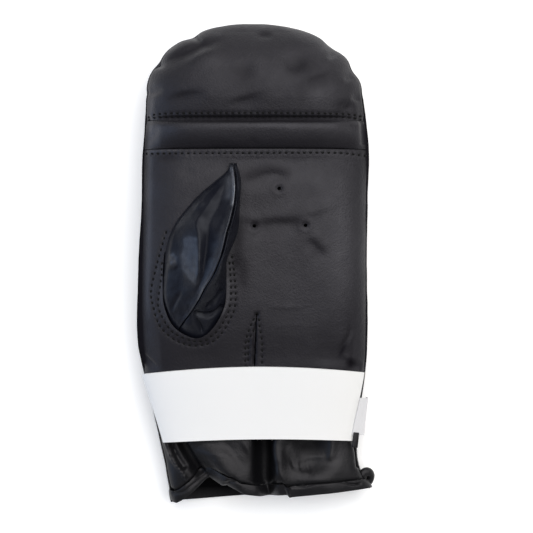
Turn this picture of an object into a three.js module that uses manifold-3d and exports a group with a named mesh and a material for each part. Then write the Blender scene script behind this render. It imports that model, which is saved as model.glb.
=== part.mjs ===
// A leather bag glove, lying palm up as it is set down: a padded back, a padded finger cover, a grip bar
// across, a leather palm with a sewn-on thumb, a wide elastic band at the wrist and a gathered, hemmed cuff.
// Millimetres. +X is to the right, +Y towards the fingertips, +Z out of the palm, and the floor is at z = 0.
import * as THREE from "three";
import { mergeVertices } from "three/addons/utils/BufferGeometryUtils.js";
import Module from "manifold-3d";

const wasm = await Module();
wasm.setup();

// Lengths along the glove, one after the other from the mouth of the cuff to the fingertips.
const cuffLength = 35;
const bandWidth = 39;
const palmLength = 125;
const gripWidth = 17.6;
const fingerLength = 53.4;

// Widths across it, from side to side.
const mouthWidth = 108;
const cuffWidth = 111;
const wristWidth = 125;
const palmWidth = 129;
const fingerWidth = 122;

// Depths, from the floor up.
const mouthDepth = 25.5;
const wristDepth = 34.4;
const handRoom = 26;
const padThickness = 18;
const restFlat = 2; // how far the padded back is pressed flat where it lies

// Walls.
const palmLeather = 1.6;
const cuffLeather = 1.4;
const thumbLeather = 1.3;
const sidePad = 7;
const fingerPad = 6;
const bandThickness = 1.5;
const labelThickness = 0.8;
const gap = 0.3; // between pieces that are sewn together

// Shapes of the sections: the powers of their rounded outlines, the turn of the side seam, and the turn
// at which the relief and the finger cover's padding have faded out towards it.
const palmRound = 2.8;
const backRound = 3.2;
const capRound = 2.15;
const seamTurn = 9;
const fadeTurn = 22;
const fadeAcross = Math.cos((fadeTurn * Math.PI) / 180) ** (2 / palmRound);

// Grip bar, finger cover and band.
const gripRise = 5;
const fingerPuff = 4;
const bandBow = 4; // of the band's upper edge
const bandFootBow = 1.8;
const bandLeftTurn = 12; // where its ends lie round the sides, in degrees
const bandRightTurn = 21;
const tipShift = 1.2; // of the fingertips, to the left
const gatherDepth = 1.3; // of the notches that the gathered seam leaves round the fingertips

// Thumb.
const thumbLength = 99;
const thumbWidth = 42;
const thumbRise = 21;
const thumbLean = 15; // degrees, towards the right
const thumbClearance = 0.3;
const thumbHoleLength = 46;
const thumbHoleWidth = 31;
const thumbHoleAt = { along: 0.29 * thumbLength, across: -0.05 * thumbWidth };
const thumbHeelRound = 0.24; // share of its length over which its heel rounds off
const thumbTipRound = 0.05;
const thumbBelly = 0.12; // its underside's depth, as a share of thumbRise
const thumbPower = 0.8; // of its section's outline
const thinnest = 0.6; // most of a thin piece's half depth that its wall takes up

// Hem, vents, slit and label.
const hemWidth = 5;
const hemProud = 0.5;
const mouthSlant = 8.5;
const ventDiameter = 2.4;
const slitLength = 31;
const slitWidth = 0.8;
const slitLean = 2.5; // degrees, towards the right
const slitAcross = 0.008; // from the glove's middle, as a share of palmWidth
const labelLength = 21;
const labelTurn = bandRightTurn - 2; // where round the side it comes out
const labelDroop = 30; // how far round the side it hangs, in degrees
const labelLift = 3; // how far its free edge stands off

// How softly the relief begins and ends: powers of its curves, and shares of the stretch that it lies on.
const edgePower = 6;
const reliefPower = 0.5;
const gripPower = 0.7;
const puffPower = 0.8;
const puffStart = 0.1;
const palmFade = 0.05;
const foldFade = 0.3;
const bowFade = 0.2;
const gatherPower = 5;
const gatherFade = 0.12;

// Places along the glove that follow from the lengths.
const wristAlong = cuffLength + bandWidth;
const joinAlong = cuffLength + bandWidth / 2;
const gripAlong = wristAlong + palmLength;
const fingerAlong = gripAlong + gripWidth;
const tipAlong = fingerAlong + fingerLength;
const capAlong = fingerAlong + 0.2 * fingerLength; // from here the fingertips round off
const palmDepth = padThickness + handRoom + palmLeather;

// A row for each section. left and right are shares of half the row's width, side and crown shares of its
// depth, lift the back's height over the floor as a share of the depth, and pad a share of padThickness.
const sections = [
  { name: "mouth", along: 0, width: mouthWidth, left: 0.86, right: 1.24,
    depth: mouthDepth, side: 0.45, crown: 1, lift: 0, pad: 0 },
  { name: "flare", along: 0.36 * cuffLength, width: mouthWidth, left: 0.9, right: 1.13,
    depth: mouthDepth, side: 0.5, crown: 1.12, lift: 0.02, pad: 0 },
  { name: "band foot", along: cuffLength, width: cuffWidth, left: 0.955, right: 1.057,
    depth: wristDepth, side: 0.4, crown: 0.86, lift: 0.08, pad: 0 },
  { name: "band head", along: wristAlong, width: wristWidth, left: 0.997, right: 1.01,
    depth: wristDepth, side: 0.5, crown: 1.04, lift: 0.09, pad: 0.28 },
  { name: "heel", along: wristAlong + 0.13 * palmLength, width: palmWidth, left: 1.014, right: 0.997,
    depth: palmDepth, side: 0.4, crown: 0.84, lift: 0.02, pad: 0.7 },
  { name: "thumb", along: wristAlong + 0.45 * palmLength, width: palmWidth, left: 1.008, right: 0.997,
    depth: palmDepth, side: 0.46, crown: 0.98, lift: -restFlat / palmDepth, pad: 1 },
  { name: "palm top", along: wristAlong + 0.8 * palmLength, width: palmWidth, left: 0.978, right: 0.997,
    depth: palmDepth, side: 0.48, crown: 1, lift: -restFlat / palmDepth, pad: 1 },
  { name: "grip", along: gripAlong, width: palmWidth, left: 0.966, right: 1.009,
    depth: palmDepth, side: 0.48, crown: 0.98, lift: -restFlat / palmDepth, pad: 1 },
  { name: "finger", along: fingerAlong, width: fingerWidth, left: 1.0, right: 1.04,
    depth: palmDepth, side: 0.48, crown: 1, lift: -restFlat / palmDepth, pad: 1 },
  { name: "cap", along: capAlong, width: fingerWidth, left: 0.992, right: 1.016,
    depth: palmDepth, side: 0.48, crown: 1.02, lift: -restFlat / palmDepth, pad: 1 },
];

// Folds of the cuff's front. top and foot are where a fold runs across, from -1 at the left to 1 at the
// right; width is a share of half the cuff, depth a share of mouthDepth, and from and to say how far down
// the cuff it lasts, from 0 at the band's foot to 1 at the mouth.
const cuffFolds = [
  { name: "left tuck", top: -0.79, foot: -0.62, width: 0.13, depth: 0.3, from: -0.5, to: 1.4 },
  { name: "left flap", top: -0.5, foot: -0.28, width: 0.2, depth: -0.12, from: 0.05, to: 1.4 },
  { name: "middle tuck", top: 0.07, foot: -0.02, width: 0.07, depth: 0.34, from: -0.5, to: 1.4 },
  { name: "middle flap", top: 0.2, foot: 0.14, width: 0.08, depth: -0.08, from: 0.1, to: 0.9 },
  { name: "right hollow", top: 0.52, foot: 0.45, width: 0.2, depth: 0.2, from: -0.5, to: 0.75 },
  { name: "right swell", top: 0.62, foot: 0.6, width: 0.22, depth: -0.1, from: 0.35, to: 1.4 },
];

// Soft hollows of the palm: where across (-1 to 1) and along (share of palmLength), how far each reaches
// (shares of half palmWidth and of palmLength) and how deep it is, as a share of handRoom.
const palmHollows = [
  { name: "palm hollow", across: 0.42, along: 0.42, wide: 0.42, long: 0.26, depth: 0.1 },
  { name: "below the bar", across: 0.1, along: 0.93, wide: 0.9, long: 0.07, depth: 0.06 },
  { name: "beside the thumb", across: -0.02, along: 0.72, wide: 0.3, long: 0.08, depth: 0.05 },
  { name: "heel crease", across: 0.72, along: 0.07, wide: 0.16, long: 0.12, depth: 0.07 },
];

// Gathers of the fingertip seam: where round the fingertips (degrees from the right), and how strong.
const gathers = [
  { turn: -4, strength: 0.8, spread: 7 },
  { turn: 23, strength: 0.7, spread: 6 },
  { turn: 44, strength: 1, spread: 7 },
  { turn: 124, strength: 1, spread: 5 },
  { turn: 151, strength: 0.6, spread: 6 },
  { turn: 182, strength: 0.9, spread: 6 },
];

// Vent holes of the palm: across in halves of palmWidth, along in shares of palmLength.
const vents = [
  { across: 0.222, along: 0.812 },
  { across: 0.015, along: 0.64 },
  { across: 0.455, along: 0.644 },
];

// Sections of the thumb, from its heel to its tip: left, ridge and right are shares of thumbWidth from the
// thumb's own axis, rise a share of thumbRise.
const thumbSections = [
  { along: 0, left: -0.36, ridge: -0.14, right: 0.4, rise: 0.62 },
  { along: 0.11, left: -0.44, ridge: -0.02, right: 0.43, rise: 0.78 },
  { along: 0.22, left: -0.51, ridge: 0.07, right: 0.44, rise: 0.9 },
  { along: 0.35, left: -0.59, ridge: 0.11, right: 0.42, rise: 0.98 },
  { along: 0.5, left: -0.62, ridge: 0.15, right: 0.35, rise: 1 },
  { along: 0.64, left: -0.58, ridge: 0.16, right: 0.28, rise: 0.86 },
  { along: 0.76, left: -0.44, ridge: 0.14, right: 0.22, rise: 0.68 },
  { along: 0.87, left: -0.24, ridge: 0.1, right: 0.16, rise: 0.5 },
  { along: 1, left: -0.07, ridge: -0.03, right: 0.01, rise: 0.3 },
];

// Creases of the thumb's top: where (share of its length, and across as its width's shares), the
// direction it runs in (degrees from the thumb's axis), half its length and width, and its depth in rises.
const thumbCreases = [
  { name: "long fold", along: 0.6, across: -0.1, turn: 4, reach: 0.24, width: 0.07, depth: 0.24 },
  { name: "heel tuck", along: 0.2, across: 0.24, turn: 74, reach: 0.09, width: 0.045, depth: 0.3 },
  { name: "lower tuck", along: 0.09, across: 0.14, turn: -30, reach: 0.08, width: 0.04, depth: 0.22 },
  { name: "facet edge", along: 0.42, across: -0.26, turn: -32, reach: 0.12, width: 0.05, depth: 0.14 },
];

const radians = (degrees) => (degrees * Math.PI) / 180;
const clamp01 = (value) => Math.min(1, Math.max(0, value));
const ease = (value) => clamp01(value) ** 2 * (3 - 2 * clamp01(value));
const bell = (value) => Math.exp(-value * value);
const power = (value, exponent) => Math.sign(value) * Math.abs(value) ** exponent;
const shares = (count) => Array.from({ length: count + 1 }, (_, i) => i / count);
const between = (from, to, count) => shares(count).map((share) => from + (to - from) * share);

// A column of a table of rows at a place between them, on a smooth curve through the rows.
function columnAt(rows, column, along) {
  const last = rows.length - 1;
  let i = rows.findIndex((row) => row.along > along) - 1;
  if (i < 0) i = along < rows[0].along ? 0 : last - 1;
  const slope = (k) => {
    const before = rows[Math.max(0, k - 1)];
    const after = rows[Math.min(last, k + 1)];
    return (after[column] - before[column]) / (after.along - before.along);
  };
  const [a, b] = [rows[i], rows[i + 1]];
  const span = b.along - a.along;
  const t = clamp01((along - a.along) / span);
  const level = a[column] + (b[column] - a[column]) * ease(t);
  return level + span * (slope(i) * t * (1 - t) ** 2 - slope(i + 1) * t ** 2 * (1 - t));
}

// The sections in millimetres.
const measured = sections.map((row) => ({
  along: row.along,
  left: (row.left * row.width) / 2,
  right: (row.right * row.width) / 2,
  side: row.side * row.depth,
  crown: row.crown * row.depth,
  floor: row.lift * row.depth,
  pad: palmLeather + row.pad * (padThickness - palmLeather),
}));

function sectionAt(along) {
  const place = Math.min(along, capAlong);
  const capShare = clamp01((along - capAlong) / (tipAlong - capAlong));
  const left = columnAt(measured, "left", place);
  const right = columnAt(measured, "right", place);
  return {
    capShare,
    closing: (1 - capShare ** capRound) ** (1 / capRound),
    half: (left + right) / 2,
    centre: (right - left) / 2 - tipShift * capShare,
    side: columnAt(measured, "side", place),
    crown: columnAt(measured, "crown", place),
    floor: columnAt(measured, "floor", place),
    pad: columnAt(measured, "pad", place),
  };
}

// How far the palm side stands above its plain section, at a place across from -1 to 1.
function relief(across, along) {
  const edge = 1 - Math.min(1, Math.abs(across) / fadeAcross) ** edgePower;
  if (along > fingerAlong) {
    const share = puffStart + (along - fingerAlong) / fingerLength;
    return fingerPuff * edge * Math.sin(Math.PI * clamp01(share)) ** puffPower;
  }
  if (along > gripAlong) {
    return gripRise * edge * Math.sin((Math.PI * (along - gripAlong)) / gripWidth) ** gripPower;
  }
  if (along > wristAlong) {
    const share = (along - wristAlong) / palmLength;
    const hollow = palmHollows.reduce((sum, row) => sum
      + row.depth * bell((across - row.across) / row.wide) * bell((share - row.along) / row.long), 0);
    return -handRoom * edge * hollow * ease(share / palmFade) * ease((1 - share) / palmFade);
  }
  return cuffFold(across, along) * edge;
}

function cuffFold(across, along) {
  const down = (cuffLength - along) / cuffLength;
  const fade = ease((joinAlong - along) / (bandWidth / 2));
  return -mouthDepth * cuffFolds.reduce((sum, row) => {
    const middle = row.top + (row.foot - row.top) * clamp01(down);
    const lasting = ease((down - row.from) / foldFade) * ease((row.to - down) / foldFade);
    return sum + row.depth * fade * lasting * bell((across - middle) / row.width);
  }, 0);
}

// The notches that the gathered seam leaves in the fingertips' outline.
function gathered(x, y, section) {
  if (section.capShare <= 0) return [x, y];
  const reachX = (x - section.centre) / section.half;
  const reachY = (y - capAlong) / (tipAlong - capAlong);
  const turn = (Math.atan2(reachY, reachX) * 180) / Math.PI;
  const notch = gathers.reduce((sum, row) => sum + row.strength * bell((turn - row.turn) / row.spread), 0);
  const outwards = Math.min(1, Math.hypot(reachX, reachY)) ** gatherPower;
  const pull = (notch * gatherDepth * outwards) / section.half;
  const fade = ease(section.capShare / gatherFade);
  return [x - (x - section.centre) * pull * fade, y - (y - capAlong) * pull * fade];
}

// A point of the glove at a distance along it and a turn round its section: 0 is the right side, 90 the
// palm, 180 the left side and 270 the back. under is how deep it lies below the skin at the sides, the
// palm side, the back and the fingertips, and bare leaves out what stands above the plain section.
function glovePoint(along, turn, under) {
  const section = sectionAt(along);
  const [level, height] = [Math.cos(radians(turn)), Math.sin(radians(turn))];
  const palmSide = height >= 0;
  const round = palmSide ? palmRound : backRound;
  const across = power(level, 2 / round);
  const palmDepthHere = section.crown - section.side - under.palm;
  const backDepthHere = section.side - section.floor - under.back;
  const depth = palmSide ? palmDepthHere : backDepthHere;
  const bandShare = clamp01((along - cuffLength) / bandWidth);
  const fade = ease(1 - (along - wristAlong) / (bowFade * palmLength)) * ease(along / cuffLength);
  const bow = fade * (bandFootBow + (bandBow - bandFootBow) * bandShare);
  const slant = mouthSlant * clamp01(1 - along / cuffLength);
  const x = section.centre + (section.half - under.side) * section.closing * across;
  const y = along - under.tip * section.capShare + (slant * (1 + across)) / 2 + bow * (1 - across * across);
  const z = section.side + depth * section.closing * power(height, 2 / round)
    + (palmSide && !under.bare ? relief(across, along) * section.closing * height ** reliefPower : 0);
  return [...gathered(x, y, section), z];
}

const evenly = (depth) => ({ side: depth, palm: depth, back: depth, tip: depth });
const barely = (depth) => ({ ...evenly(depth), bare: true });

// The height of the glove's palm side over the floor.
function topHeight(x, y) {
  const section = sectionAt(y);
  const across = Math.min(1, Math.abs(x - section.centre) / (section.half * section.closing));
  const height = (1 - across ** palmRound) ** (1 / palmRound);
  const raised = relief(Math.sign(x - section.centre) * across, y) * height ** ((reliefPower * palmRound) / 2);
  return section.side + ((section.crown - section.side) * height + raised) * section.closing;
}

// A geometry from points and triangles: its doubles merged, collapsed faces dropped, its faces outwards.
function closedGeometry(points, triangles) {
  const raw = new THREE.BufferGeometry();
  raw.setAttribute("position", new THREE.Float32BufferAttribute(points, 3));
  raw.setIndex(triangles);
  const merged = mergeVertices(raw, 1e-3);
  const index = [];
  for (let i = 0; i < merged.index.count; i += 3) {
    const [a, b, c] = [0, 1, 2].map((k) => merged.index.getX(i + k));
    if (a !== b && b !== c && c !== a) index.push(a, b, c);
  }
  const corner = (k) => new THREE.Vector3().fromBufferAttribute(merged.attributes.position, index[k]);
  let volume = 0;
  for (let i = 0; i < index.length; i += 3) volume += corner(i).dot(corner(i + 1).cross(corner(i + 2)));
  merged.setIndex(volume < 0 ? index.reverse() : index);
  return merged;
}

// A closed wall between an outer and an inner surface, both given as functions of a place along and a turn.
function wall(alongs, turns, outer, inner) {
  const points = [];
  for (const surface of [outer, inner])
    for (const along of alongs) for (const turn of turns) points.push(...surface(along, turn));
  const [rows, columns] = [alongs.length, turns.length];
  const at = (side, row, column) => (side * rows + row) * columns + column;
  const triangles = [];
  const quad = (a, b, c, d) => triangles.push(a, b, c, a, c, d);
  const last = columns - 1;
  for (let row = 0; row < rows - 1; row++) {
    for (let column = 0; column < last; column++) {
      quad(at(0, row, column), at(0, row, column + 1), at(0, row + 1, column + 1), at(0, row + 1, column));
      quad(at(1, row, column), at(1, row + 1, column), at(1, row + 1, column + 1), at(1, row, column + 1));
    }
    quad(at(0, row + 1, 0), at(1, row + 1, 0), at(1, row, 0), at(0, row, 0));
    quad(at(1, row, last), at(1, row + 1, last), at(0, row + 1, last), at(0, row, last));
  }
  const end = rows - 1;
  for (let column = 0; column < columns - 1; column++) {
    quad(at(0, 0, column), at(1, 0, column), at(1, 0, column + 1), at(0, 0, column + 1));
    quad(at(0, end, column + 1), at(1, end, column + 1), at(1, end, column), at(0, end, column));
  }
  return closedGeometry(points, triangles);
}

function solid(geometry) {
  const bare = geometry.clone();
  bare.deleteAttribute("normal");
  bare.deleteAttribute("uv");
  const merged = mergeVertices(bare, 1e-3);
  return new wasm.Manifold(new wasm.Mesh({
    numProp: 3,
    vertProperties: merged.attributes.position.array,
    triVerts: new Uint32Array(merged.index.array),
  }));
}

function cut(geometry, ...cutters) {
  const made = cutters.reduce((rest, cutter) => rest.subtract(solid(cutter)), solid(geometry)).getMesh();
  const result = new THREE.BufferGeometry();
  result.setAttribute("position", new THREE.Float32BufferAttribute(made.vertProperties, 3));
  result.setIndex(Array.from(made.triVerts));
  return result;
}

// Leather, foam and the rest, as they look.
const blackLeather = new THREE.MeshStandardMaterial({ color: 0x2a2a2e, roughness: 0.42, metalness: 0 });
const thumbSkin = new THREE.MeshStandardMaterial({ color: 0x24262e, roughness: 0.38, metalness: 0 });
const whiteElastic = new THREE.MeshStandardMaterial({ color: 0xededeb, roughness: 0.85, metalness: 0 });
const whiteSatin = new THREE.MeshStandardMaterial({ color: 0xf4f4f6, roughness: 0.5, metalness: 0 });

function piece(name, geometry, material) {
  const mesh = new THREE.Mesh(geometry, material);
  mesh.name = name;
  return mesh;
}

// The turns of the palm side, from the right seam to the left one, and of the back, the other way round.
const palmTurns = (count) => between(seamTurn, 180 - seamTurn, count);
const backTurns = (count) => between(180 - seamTurn, 360 + seamTurn, count);
const capAlongs = (count) => shares(count).map((share) => (
  capAlong + (tipAlong - capAlong) * Math.sin((share * Math.PI) / 2)));

// Padded back, on the floor: foam under leather, thinner up the sides and to the wrist.
function backPad() {
  const outer = (along, turn) => {
    const [x, y, z] = glovePoint(along, turn, evenly(0));
    return [x, y, Math.max(0, z)];
  };
  const inner = (along, turn) => {
    const section = sectionAt(along);
    const fromSeam = Math.min(turn - (180 - seamTurn), 360 + seamTurn - turn) / (90 + seamTurn);
    const padShare = (section.pad - palmLeather) / (padThickness - palmLeather);
    const side = palmLeather + (sidePad - palmLeather) * padShare * ease(2 * fromSeam);
    const room = section.side - Math.max(0, section.floor) - section.pad;
    const back = section.side - section.floor - Math.max(0.05 * section.side, room);
    return glovePoint(along, turn, { side, palm: palmLeather, back, tip: fingerPad });
  };
  const alongs = [
    ...between(joinAlong + gap / 2, wristAlong, 2),
    ...between(wristAlong, gripAlong, 8).slice(1),
    fingerAlong,
    ...capAlongs(9),
  ];
  return piece("back_pad", wall(alongs, backTurns(28), outer, inner), blackLeather);
}

// Padded cover over the fingertips, sewn round to the back.
function fingerPanel() {
  const outer = (along, turn) => glovePoint(along, turn, evenly(0));
  const inner = (along, turn) => {
    const middle = ease((Math.min(turn, 180 - turn) - fadeTurn) / (90 - fadeTurn));
    const palm = palmLeather + (fingerPad - palmLeather) * middle;
    return glovePoint(along, turn, { side: palmLeather, palm, back: 0, tip: fingerPad, bare: true });
  };
  const alongs = [fingerAlong + gap / 2, ...capAlongs(9)];
  return piece("finger_panel", wall(alongs, palmTurns(22), outer, inner), blackLeather);
}

// Padded roll across, between the finger cover and the palm.
function gripBar() {
  const outer = (along, turn) => glovePoint(along, turn, evenly(0));
  const inner = (along, turn) => glovePoint(along, turn, barely(palmLeather));
  const alongs = between(gripAlong + gap / 2, fingerAlong - gap / 2, 6);
  return piece("grip_bar", wall(alongs, palmTurns(22), outer, inner), blackLeather);
}

// The thumb's own frame on the palm: its heel, and the direction in which it points.
const thumbHeel = { x: -0.272 * palmWidth, y: wristAlong + 0.157 * palmLength };
function onPalm(along, across) {
  const lean = radians(thumbLean);
  return [
    thumbHeel.x + along * Math.sin(lean) + across * Math.cos(lean),
    thumbHeel.y + along * Math.cos(lean) - across * Math.sin(lean),
  ];
}

// The thumb's oval hole in the palm, as a block that cuts through up to a height.
function thumbHole(top) {
  const outline = new THREE.Shape();
  outline.absellipse(0, 0, thumbHoleWidth / 2, thumbHoleLength / 2, 0, 2 * Math.PI);
  const block = new THREE.ExtrudeGeometry(outline, { depth: top, bevelEnabled: false, curveSegments: 20 });
  block.rotateZ(-radians(thumbLean));
  const [x, y] = onPalm(thumbHoleAt.along, thumbHoleAt.across);
  return block.translate(x, y, 0);
}

// A point of the thumb at a share of its length and a turn round its section: 0 is the right edge, 90 the
// ridge, 180 the left edge and 270 underneath, where it lies on the palm.
function thumbPoint(share, turn, depth) {
  const heelRound = Math.sqrt(1 - (1 - clamp01(share / thumbHeelRound)) ** 2);
  const column = (name) => columnAt(thumbSections, name, share);
  const inset = (size) => size - Math.min(depth, thinnest * size);
  const ridge = column("ridge") * thumbWidth;
  const right = (column("right") * thumbWidth - ridge) * heelRound;
  const left = (ridge - column("left") * thumbWidth) * heelRound;
  const [level, height] = [Math.cos(radians(turn)), Math.sin(radians(turn))];
  const tipClose = ease((1 - share) / thumbTipRound);
  const side = level >= 0 ? inset(right) : -inset(left);
  const across = ridge + side * Math.abs(level) ** thumbPower * tipClose;
  const along = depth + share * (thumbLength - 2 * depth);
  const [x, y] = onPalm(along, across);
  const belly = thumbBelly * thumbRise;
  const fold = thumbCreases.reduce((sum, row) => {
    const [dx, dy] = [across / thumbLength - (row.across * thumbWidth) / thumbLength, share - row.along];
    const [c, s] = [Math.cos(radians(row.turn)), Math.sin(radians(row.turn))];
    const [run, off] = [dy * c + dx * s, dx * c - dy * s];
    return sum + row.depth * bell(run / row.reach) * bell(off / row.width);
  }, 0);
  const rise = inset(column("rise") * thumbRise * (1 - fold));
  const reach = (height >= 0 ? rise : -inset(belly)) * heelRound ** thumbPower * tipClose;
  const z = topHeight(x, y) + gap + thumbClearance + belly + reach * Math.abs(height) ** thumbPower;
  return [x, y, z];
}

function thumbGore(name, turns) {
  const outer = (share, turn) => thumbPoint(share, turn, 0);
  const inner = (share, turn) => thumbPoint(share, turn, thumbLeather);
  const alongs = shares(18).map((share) => 1 - Math.cos((share * Math.PI) / 2));
  return piece(name, wall(alongs, turns, outer, inner), thumbSkin);
}

function thumbFront() {
  const gore = thumbGore("thumb_front", between(90, 180, 9));
  const lean = radians(thumbLean);
  gore.position.set(-gap * Math.cos(lean), gap * Math.sin(lean), gap);
  return gore;
}

function thumbSide() {
  const gore = thumbGore("thumb_side", between(-180, 90, 18));
  const underside = topHeight(...onPalm(thumbHoleAt.along, thumbHoleAt.across));
  gore.geometry = cut(gore.geometry, thumbHole(underside + 2 * thumbBelly * thumbRise));
  return gore;
}

// Leather palm with the thumb's hole, the vents and the slit at the wrist.
function palmPanel() {
  const outer = (along, turn) => glovePoint(along, turn, evenly(0));
  const inner = (along, turn) => glovePoint(along, turn, evenly(palmLeather));
  const alongs = [
    ...between(joinAlong + gap / 2, wristAlong, 2),
    ...between(wristAlong, gripAlong - gap / 2, 14).slice(1),
  ];
  const sheet = wall(alongs, palmTurns(26), outer, inner);
  const drills = vents.map((row) => {
    const drill = new THREE.CylinderGeometry(ventDiameter / 2, ventDiameter / 2, 2 * palmDepth, 10);
    drill.rotateX(Math.PI / 2);
    return drill.translate((row.across * palmWidth) / 2, wristAlong + row.along * palmLength, palmDepth);
  });
  const slit = new THREE.BoxGeometry(slitWidth, slitLength, 2 * palmDepth);
  slit.rotateZ(-radians(slitLean));
  slit.translate(slitAcross * palmWidth, wristAlong + slitLength / 2 + bandBow, palmDepth);
  return piece("palm_panel", cut(sheet, thumbHole(2 * palmDepth), slit, ...drills), blackLeather);
}

// Elastic across the wrist, over the palm's heel and the cuff's gathers.
function elasticBand() {
  const outer = (along, turn) => glovePoint(along, turn, barely(-gap - bandThickness));
  const inner = (along, turn) => glovePoint(along, turn, barely(-gap));
  const turns = between(bandRightTurn, 180 - bandLeftTurn, 28);
  return piece("elastic_band", wall(between(cuffLength, wristAlong, 5), turns, outer, inner), whiteElastic);
}

// The cuff's skin, and its inner face, with the folds' steep sides kept as thick as the rest.
const cuffOuter = (proud) => (along, turn) => {
  const [x, y, z] = glovePoint(along, turn, evenly(-proud));
  return [x, y, Math.max(hemProud - proud, z)];
};
const cuffInner = (proud) => (along, turn) => {
  const across = power(Math.cos(radians(turn)), 2 / palmRound);
  const section = sectionAt(along);
  const step = 0.01;
  const climb = (relief(across + step, along) - relief(across - step, along)) / (2 * step * section.half);
  const depth = cuffLeather + proud;
  const palm = turn < 180 ? depth * Math.hypot(1, climb) : depth;
  const [x, y, z] = glovePoint(along, turn, { side: depth, palm, back: depth, tip: 0 });
  return [x, y, turn < 180 ? z : Math.max(hemProud + depth, z)];
};

function cuffPanel(name, turns) {
  const alongs = between(hemWidth + gap, joinAlong - gap / 2, 8);
  return piece(name, wall(alongs, turns, cuffOuter(0), cuffInner(0)), blackLeather);
}

function hem(name, turns) {
  const alongs = between(0, hemWidth, 2);
  return piece(name, wall(alongs, turns, cuffOuter(hemProud), cuffInner(hemProud)), blackLeather);
}

// Small folded label, held in the right side seam behind the band's end.
function sideLabel() {
  const start = cuffLength + 0.1 * bandWidth;
  const surface = (proud) => (along, share) => (
    glovePoint(along, labelTurn - share * labelDroop, evenly(-gap - proud - share * labelLift)));
  const alongs = between(start, start + labelLength, 4);
  return piece("side_label", wall(alongs, shares(6), surface(labelThickness), surface(0)), whiteSatin);
}

// What is sewn over the back stands a gap above the side seam.
const palmSide = new THREE.Group();
palmSide.position.z = gap;
palmSide.add(
  palmPanel(),
  fingerPanel(),
  gripBar(),
  elasticBand(),
  cuffPanel("cuff_front", palmTurns(44)),
  hem("hem_front", palmTurns(44)),
);

const glove = new THREE.Group();
glove.add(
  backPad(),
  palmSide,
  thumbFront(),
  thumbSide(),
  cuffPanel("cuff_back", backTurns(22)),
  hem("hem_back", backTurns(22)),
  sideLabel(),
);

// The origin is on the floor, under the middle of the whole glove.
const extent = new THREE.Box3().setFromObject(glove, true);
const middle = extent.getCenter(new THREE.Vector3());
glove.position.set(-middle.x, -middle.y, -extent.min.z);

export default glove;
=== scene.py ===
import math
import bpy
import numpy as np
from mathutils import Matrix, Vector, noise
from mathutils.bvhtree import BVHTree


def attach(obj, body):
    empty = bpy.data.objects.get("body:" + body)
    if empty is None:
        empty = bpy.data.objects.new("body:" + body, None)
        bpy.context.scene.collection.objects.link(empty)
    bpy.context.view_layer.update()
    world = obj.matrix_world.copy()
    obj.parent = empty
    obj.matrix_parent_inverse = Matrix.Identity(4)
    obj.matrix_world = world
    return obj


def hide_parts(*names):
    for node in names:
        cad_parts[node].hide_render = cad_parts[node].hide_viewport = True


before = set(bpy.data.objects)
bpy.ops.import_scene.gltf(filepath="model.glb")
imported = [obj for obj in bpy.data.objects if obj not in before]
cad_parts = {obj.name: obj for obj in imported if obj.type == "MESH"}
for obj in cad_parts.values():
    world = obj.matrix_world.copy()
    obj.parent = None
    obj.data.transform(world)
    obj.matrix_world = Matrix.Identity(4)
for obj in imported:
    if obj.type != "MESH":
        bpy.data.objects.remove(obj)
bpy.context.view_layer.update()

# A black leather bag glove lying palm up. Metres; +Y points to the fingertips and +Z out of the palm.
mm = 0.001
view = {"photoSide": 533, "mmPerPixel": 0.5637, "centreX": 255.0, "centreY": 263.7,
        "away": 1.6, "level": 0.022}
mergeWithin = 0.00002
castFrom = 100  # rays down to the glove start this high, in mm


# Small helpers

def deselectAll():
    if bpy.context.object and bpy.context.object.mode != "OBJECT":
        bpy.ops.object.mode_set(mode="OBJECT")
    bpy.ops.object.select_all(action="DESELECT")


def makeActive(thing):
    deselectAll()
    thing.select_set(True)
    bpy.context.view_layer.objects.active = thing


def applyModifier(thing, kind, **settings):
    makeActive(thing)
    bpy.ops.object.modifier_add(type=kind)
    modifier = thing.modifiers[-1]
    for key, value in settings.items():
        setattr(modifier, key, value)
    bpy.ops.object.modifier_apply(modifier=modifier.name)


def smoothByAngle(thing, degrees=50):
    makeActive(thing)
    bpy.ops.object.shade_smooth_by_angle(angle=math.radians(degrees))


def pointsOf(thing, kind="co"):
    points = np.empty(len(thing.data.vertices) * 3)
    thing.data.vertices.foreach_get(kind, points)
    return points.reshape(-1, 3)


def setPoints(thing, points):
    thing.data.vertices.foreach_set("co", np.ascontiguousarray(points, dtype=float).ravel())
    thing.data.update()


def ease(value):
    value = np.clip(value, 0, 1)
    return value * value * (3 - 2 * value)


def bell(value):
    return np.exp(-value * value)


def bumpy(places, size, seed, stretch=(1, 1, 1)):  # smooth noise from -1 to 1; places and size in mm
    shift = Vector((seed * 7.3, seed * 3.1, seed * 5.7))
    return np.array([noise.noise(Vector(place) + shift) for place in places / size / np.array(stretch)])


def waves(places, *rows):  # each row is a height, a size and a seed
    return sum(height * bumpy(places, size, seed) for height, size, seed in rows)


def metres(*lengths):
    return [length * mm for length in lengths]


# The glove's own form: lengths along it from the mouth of the cuff, widths and depths, all in mm

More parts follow.
